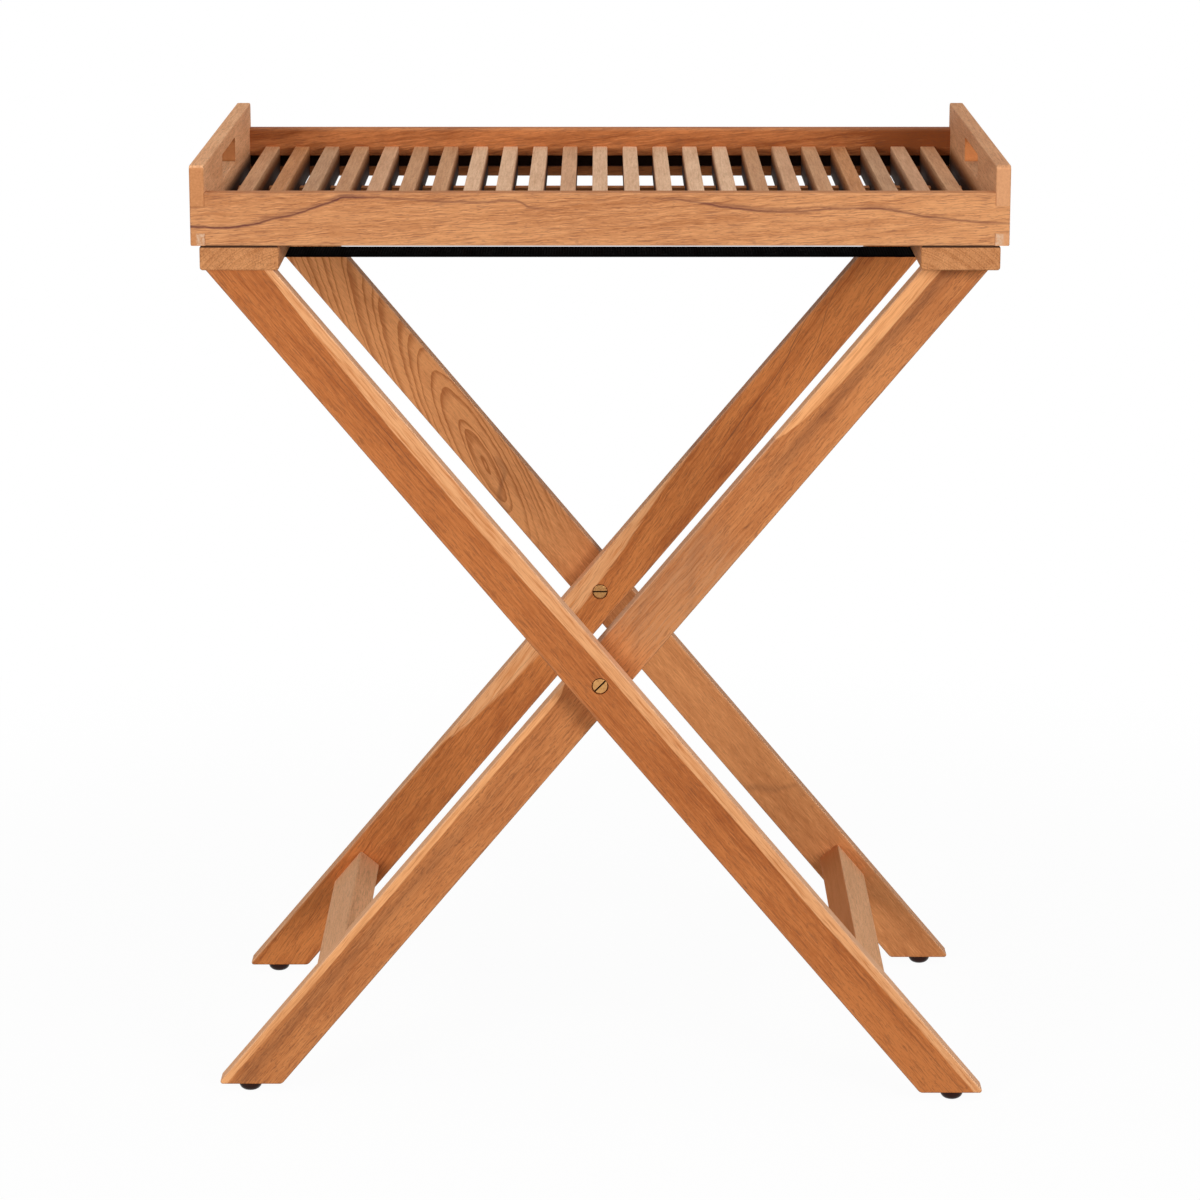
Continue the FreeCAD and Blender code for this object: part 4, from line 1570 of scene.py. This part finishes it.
@dataclass
class Straps:
    """Two bands of black webbing pulled tight under the top rails."""

    half_length: float = 0.313
    half_width: float = 0.025
    half_thickness: float = 0.001
    middle_z: float = 0.709
    rail_inner_x: float = 0.255
    places_y: tuple[tuple[str, float], ...] = (("front_strap", -0.116), ("back_strap", 0.051))
    ribs: int = 24
    samples_per_rib: int = 5
    stations: int = 120
    rib_height: float = 0.00012
    tack_x: float = 0.299
    tack_spacing: float = 0.016
    tack_dent: float = 0.0005
    tack_dent_radius: float = 0.005
    flatness: int = 8
    finish: Webbing = Webbing()

    def outline(self) -> tuple[np.ndarray, np.ndarray, np.ndarray]:
        """Closed profile of a band, from one edge over the top to the other and back below.

        With n for the flatness, the height is half the thickness times the n-th root of one less the n-th
        power of the place across, so that the band is flat with round edges. Small cosine ribs lie on it.

        Returns:
            The places across from -1 to 1, the heights, and each point's side, 1 above and -1 below.
        """
        count = self.ribs * self.samples_per_rib
        share = np.linspace(-1.0, 1.0, count + 1)
        full = self.half_thickness - self.rib_height
        flat = full * (1.0 - np.abs(share) ** self.flatness) ** (1.0 / self.flatness)
        ribbed = flat + self.rib_height * (0.5 - 0.5 * np.cos(math.pi * self.ribs * (share + 1)))
        places = np.concatenate([share, share[-2:0:-1]])
        heights = np.concatenate([ribbed, -ribbed[-2:0:-1]])
        sides = np.concatenate([np.ones(count + 1), -np.ones(count - 1)])
        return places, heights, sides

    def dents(self, x: np.ndarray, y: np.ndarray) -> np.ndarray:
        """Dents under the tack heads: a bell curve of the distance from each tack, summed.

        Args:
            x: the places along the band.
            y: the places across it.

        Returns:
            The dents' depths.
        """
        tack_x = np.array([-self.tack_x, self.tack_x])[:, None]
        tack_y = np.array([-self.tack_spacing, 0.0, self.tack_spacing])[None, :]
        square = (x[..., None, None] - tack_x) ** 2 + (y[..., None, None] - tack_y) ** 2
        return self.tack_dent * np.exp(-square / self.tack_dent_radius ** 2).sum((-1, -2))

    def band(self, name: str, centre_y: float) -> bpy.types.Object:
        """One band: its profile carried along X, with flat ends.

        Args:
            name: the piece's name.
            centre_y: the middle of its width.

        Returns:
            The new object, with a UV map in metres along and across the band.
        """
        places, heights, sides = self.outline()
        x = np.linspace(-self.half_length, self.half_length, self.stations)[:, None]
        y = self.half_width * places[None, :]
        x, y = np.broadcast_arrays(x, y)
        z = heights[None, :] + np.where(sides[None, :] < 0, self.dents(x, y), 0.0)
        points = np.stack([x, centre_y + y, self.middle_z + z], axis=-1).reshape(-1, 3)
        around = len(places)
        index = np.arange(self.stations * around).reshape(self.stations, around)
        turned = np.roll(index, -1, axis=1)
        quads = np.stack([index[:-1], index[1:], turned[1:], turned[:-1]], axis=-1).reshape(-1, 4)
        ends = [index[0].tolist(), index[-1][::-1].tolist()]
        mesh = bpy.data.meshes.new(name)
        mesh.from_pydata(points.tolist(), [], quads.tolist() + ends)
        corners = np.empty(len(mesh.loops), dtype=np.int32)
        mesh.loops.foreach_get("vertex_index", corners)
        layer = mesh.uv_layers.new(name=self.finish.uv_map)
        flat = np.stack([x, y], axis=-1).reshape(-1, 2)[corners]
        layer.data.foreach_set("uv", flat.astype(np.float32).ravel())
        mesh.shade_smooth()
        band = bpy.data.objects.new(name, mesh)
        bpy.context.scene.collection.objects.link(band)
        return band

    def build(self) -> None:
        """Make both bands and dress them, in place of the model's straps."""
        material = self.finish.make()
        for node, centre_y in self.places_y:
            band = self.band(node.replace("strap", "webbing"), centre_y)
            band.data.materials.append(material)
            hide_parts(node)
            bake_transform(band)
            LOG.info("built %s", band.name)


@dataclass(frozen=True)
class SlottedHead:
    """A slotted head: where its face is along Y, which way is inwards, and the grime and painted shade below
    that face.
    """

    node: str
    face_y: float
    inward: float
    # Grime and painted shade in the slot and round the head: the depths where they begin and end, colour and
    # roughness.
    grime_and_shade_depth: Range = (0.0003, 0.0007)
    grime_and_shade: Colour = (0.035, 0.016, 0.007, 1.0)
    grime_and_shade_roughness: float = 0.8


@dataclass(frozen=True)
class MetalFinish:
    """A metal: its bright and dull colours, how rough each is, its patches per metre and its relief."""

    name: str
    bright: Colour
    dull: Colour
    roughness: Range
    patch_scale: float
    relief: Relief = Relief(0.3, 0.0002)

    def make(self, tarnish: Tarnish, head: SlottedHead | None = None) -> bpy.types.Material:
        """Metal with dull patches and scratches, and with grime and painted shade below a slotted head's
        face.

        Args:
            tarnish: the shared effect.
            head: the head, where the piece has one.

        Returns:
            The material.
        """
        name = self.name if head is None else "%s_%s" % (self.name, head.node)
        material, graph, shader = new_material(name)
        place = graph.add("TexCoord").outputs["Object"]
        worn = tarnish.place(graph, {"Point": place, "Patch Scale": self.patch_scale})
        colour = graph.mix(worn["Dull"], self.bright, self.dull)
        roughness = graph.between(worn["Dull"], *self.roughness)
        if head is not None:
            # Grime and painted shade on all that lies below the head's face.
            _, y, _ = graph.split(place)
            depth = graph.maths("MULTIPLY", graph.maths("SUBTRACT", y, head.face_y), head.inward)
            grime_and_shade = graph.step(depth, *head.grime_and_shade_depth)
            colour = graph.mix(grime_and_shade, colour, head.grime_and_shade)
            grime_and_shade_rough = graph.maths("MULTIPLY", grime_and_shade, head.grime_and_shade_roughness)
            roughness = graph.maths("MAXIMUM", roughness, grime_and_shade_rough)
        coat(graph, shader, colour, roughness, self.relief.bump(graph, worn["Scratch"]))
        shader.inputs["Metallic"].default_value = 1.0
        return material


@dataclass(frozen=True)
class CapPlastic:
    """Dark brown glossy plastic: its two browns, its scuffs, how rough they are, its sheen and its relief."""

    dark: Colour = (0.01, 0.003, 0.002, 1.0)
    light: Colour = (0.045, 0.013, 0.008, 1.0)
    scuffs: Noise = Noise((260.0, 260.0, 900.0), 4.0, 0.6)
    roughness: Range = (0.2, 0.4)
    gloss: float = 0.12
    relief: Relief = Relief(0.15, 0.0002)

    def make(self) -> bpy.types.Material:
        """Plastic that is scuffed in patches.

        Returns:
            The material.
        """
        material, graph, shader = new_material("glide_cap")
        place = graph.add("TexCoord").outputs["Object"]
        scuff = graph.noise(place, self.scuffs)["Fac"]
        colour = graph.mix(scuff, self.dark, self.light)
        roughness = graph.between(scuff, *self.roughness)
        coat(graph, shader, colour, roughness, self.relief.bump(graph, scuff))
        shader.inputs["Specular IOR Level"].default_value = self.gloss
        return material


@dataclass
class Hardware:
    """Pivot fittings, tacks and the glides under the feet."""

    brass: MetalFinish = MetalFinish(
        "pivot_brass", (0.62, 0.32, 0.115, 1.0), (0.37, 0.175, 0.063, 1.0), (0.28, 0.5), 420.0,
    )
    steel: MetalFinish = MetalFinish(
        "tack_steel", (0.14, 0.14, 0.145, 1.0), (0.05, 0.048, 0.047, 1.0), (0.3, 0.55), 600.0,
    )
    heads: tuple[SlottedHead, ...] = (
        SlottedHead("front_pivot_screw", -0.2232, 1.0),
        SlottedHead("front_pivot_barrel", -0.1828, -1.0),
        SlottedHead("back_pivot_barrel", 0.1178, 1.0),
        SlottedHead("back_pivot_screw", 0.1582, -1.0),
    )
    plastic: CapPlastic = CapPlastic()

    def build(self) -> None:
        """Dress all fittings."""
        tarnish = Tarnish()
        brass = self.brass.make(tarnish)
        steel = self.steel.make(tarnish)
        cap = self.plastic.make()
        for head in self.heads:
            dress(head.node, self.brass.make(tarnish, head))
        for end in ("front", "back"):
            dress(end + "_pivot_washer", brass)
        for side in ("left", "right"):
            dress(side + "_rail_tacks", steel)
        for side in ("outer", "inner"):
            dress(side + "_glides", cap)


@dataclass(frozen=True)
class SoftBox:
    """One soft lamp: where it stands, where it points, its size and its power in watts."""

    name: str
    place: Triple
    target: Triple
    size: float
    power: float


@dataclass
class Studio:
    """White floor, soft light and the camera."""

    image_px: float = 1200.0
    focal_px: float = 4059.84
    sensor_mm: float = 36.0
    camera_place: Triple = (0.0, -3.4731, 1.2096)
    camera_pitch_deg: float = 13.384
    ambient: float = 0.21
    floor_half: float = 40.0
    floor_albedo: float = 0.95
    floor_bounce: float = 0.3
    # Share of plain white near the object, and the distances over which it rises to all of it.
    floor_glow: float = 0.96
    fade_start: float = 0.6
    fade_end: float = 1.4
    lamps: tuple[SoftBox, ...] = (
        SoftBox("top_box", (0.0, -0.6, 3.2), (0.0, 0.0, 0.7), 2.0, 26.0),
        SoftBox("left_box", (-2.8, -3.7, 1.7), (0.0, 0.0, 0.45), 1.6, 95.0),
        SoftBox("right_box", (2.8, -3.7, 1.7), (0.0, 0.0, 0.45), 1.6, 106.0),
    )

    def shown(self, graph: Graph) -> Socket:
        """Tell rays that show the background, directly, in gloss or through glass, from rays that light.

        Args:
            graph: the nodes of the floor or the sky.

        Returns:
            1 for rays that show it, and 0 for the others.
        """
        path = graph.add("LightPath").outputs
        direct = graph.maths("MAXIMUM", path["Is Camera Ray"], path["Is Glossy Ray"])
        return graph.maths("MAXIMUM", direct, path["Is Transmission Ray"])

    def floor(self) -> bpy.types.Object:
        """White floor that keeps a soft shadow near the object and fades to plain white further out.

        Returns:
            The floor.
        """
        mesh = bpy.data.meshes.new("floor")
        square = np.array([(-1.0, -1.0, 0.0), (1.0, -1.0, 0.0), (1.0, 1.0, 0.0), (-1.0, 1.0, 0.0)])
        mesh.from_pydata((self.floor_half * square).tolist(), [], [(0, 1, 2, 3)])
        material = bpy.data.materials.new("white_floor")
        material.use_nodes = True
        material.node_tree.nodes.clear()
        graph = Graph(material.node_tree)
        shown = self.shown(graph)
        pale = (self.floor_albedo,) * 3 + (1.0,)
        dim = (self.floor_bounce,) * 3 + (1.0,)
        matte = graph.add("BsdfDiffuse", {"Color": graph.mix(shown, dim, pale)}).outputs[0]
        glow = graph.add("Emission", {"Color": WHITE, "Strength": 1.0}).outputs[0]
        place = graph.add("TexCoord").outputs["Object"]
        distance = graph.add("VectorMath", {0: place}, operation="LENGTH").outputs["Value"]
        far = graph.step(distance, self.fade_start, self.fade_end)
        share = graph.maths("MULTIPLY_ADD", far, 1.0 - self.floor_glow, self.floor_glow)
        seen = graph.maths("MULTIPLY", share, shown)
        surface = graph.add("MixShader", {0: seen, 1: matte, 2: glow}).outputs[0]
        graph.add("OutputMaterial", {"Surface": surface})
        mesh.materials.append(material)
        floor = bpy.data.objects.new("floor", mesh)
        bpy.context.scene.collection.objects.link(floor)
        return floor

    def world(self) -> None:
        """White sky for the camera, and a dimmer one for light."""
        world = bpy.data.worlds.new("studio")
        world.use_nodes = True
        world.node_tree.nodes.clear()
        graph = Graph(world.node_tree)
        soft = graph.add("Background", {"Color": WHITE, "Strength": self.ambient}).outputs[0]
        plain = graph.add("Background", {"Color": WHITE, "Strength": 1.0}).outputs[0]
        sky = graph.add("MixShader", {0: self.shown(graph), 1: soft, 2: plain}).outputs[0]
        graph.add("OutputWorld", {"Surface": sky})
        bpy.context.scene.world = world

    def light(self, box: SoftBox) -> None:
        """Hang one soft lamp and point it.

        Args:
            box: the lamp.
        """
        lamp = bpy.data.lights.new(box.name, "AREA")
        lamp.shape = "SQUARE"
        lamp.size = box.size
        lamp.energy = box.power
        stand = bpy.data.objects.new(box.name, lamp)
        bpy.context.scene.collection.objects.link(stand)
        stand.location = box.place
        stand.rotation_euler = look_along(tuple(np.array(box.target) - np.array(box.place)))

    def camera(self) -> None:
        """Camera at the photographed viewing angle."""
        lens = bpy.data.cameras.new("camera")
        lens.sensor_width = self.sensor_mm
        lens.lens = self.focal_px * self.sensor_mm / self.image_px
        eye = bpy.data.objects.new("camera", lens)
        eye.location = self.camera_place
        eye.rotation_euler = (math.radians(90.0 - self.camera_pitch_deg), 0.0, 0.0)
        bpy.context.scene.collection.objects.link(eye)
        bpy.context.scene.camera = eye

    def build(self) -> None:
        """Set up the whole studio."""
        self.floor()
        self.world()
        for box in self.lamps:
            self.light(box)
        self.camera()
        bpy.context.scene.view_settings.view_transform = "Standard"
        LOG.info("studio ready")


def look_along(direction: Triple) -> Triple:
    """Point an object's -Z along a direction, with its Y upwards.

    Args:
        direction: the direction, of any length.

    Returns:
        The Euler angles.
    """
    x, y, z = direction
    level = math.hypot(x, y)
    return (math.atan2(level, -z), 0.0, math.atan2(-x, y))


def main() -> None:
    """Dress the tray, the stand, the straps and the fittings, then set up the studio."""
    logging.basicConfig(level=logging.INFO)
    shop = TeakShop()
    Tray().build(shop)
    Stand().build(shop)
    Straps().build()
    Hardware().build()
    Studio().build()


if __name__ == "__main__":
    main()
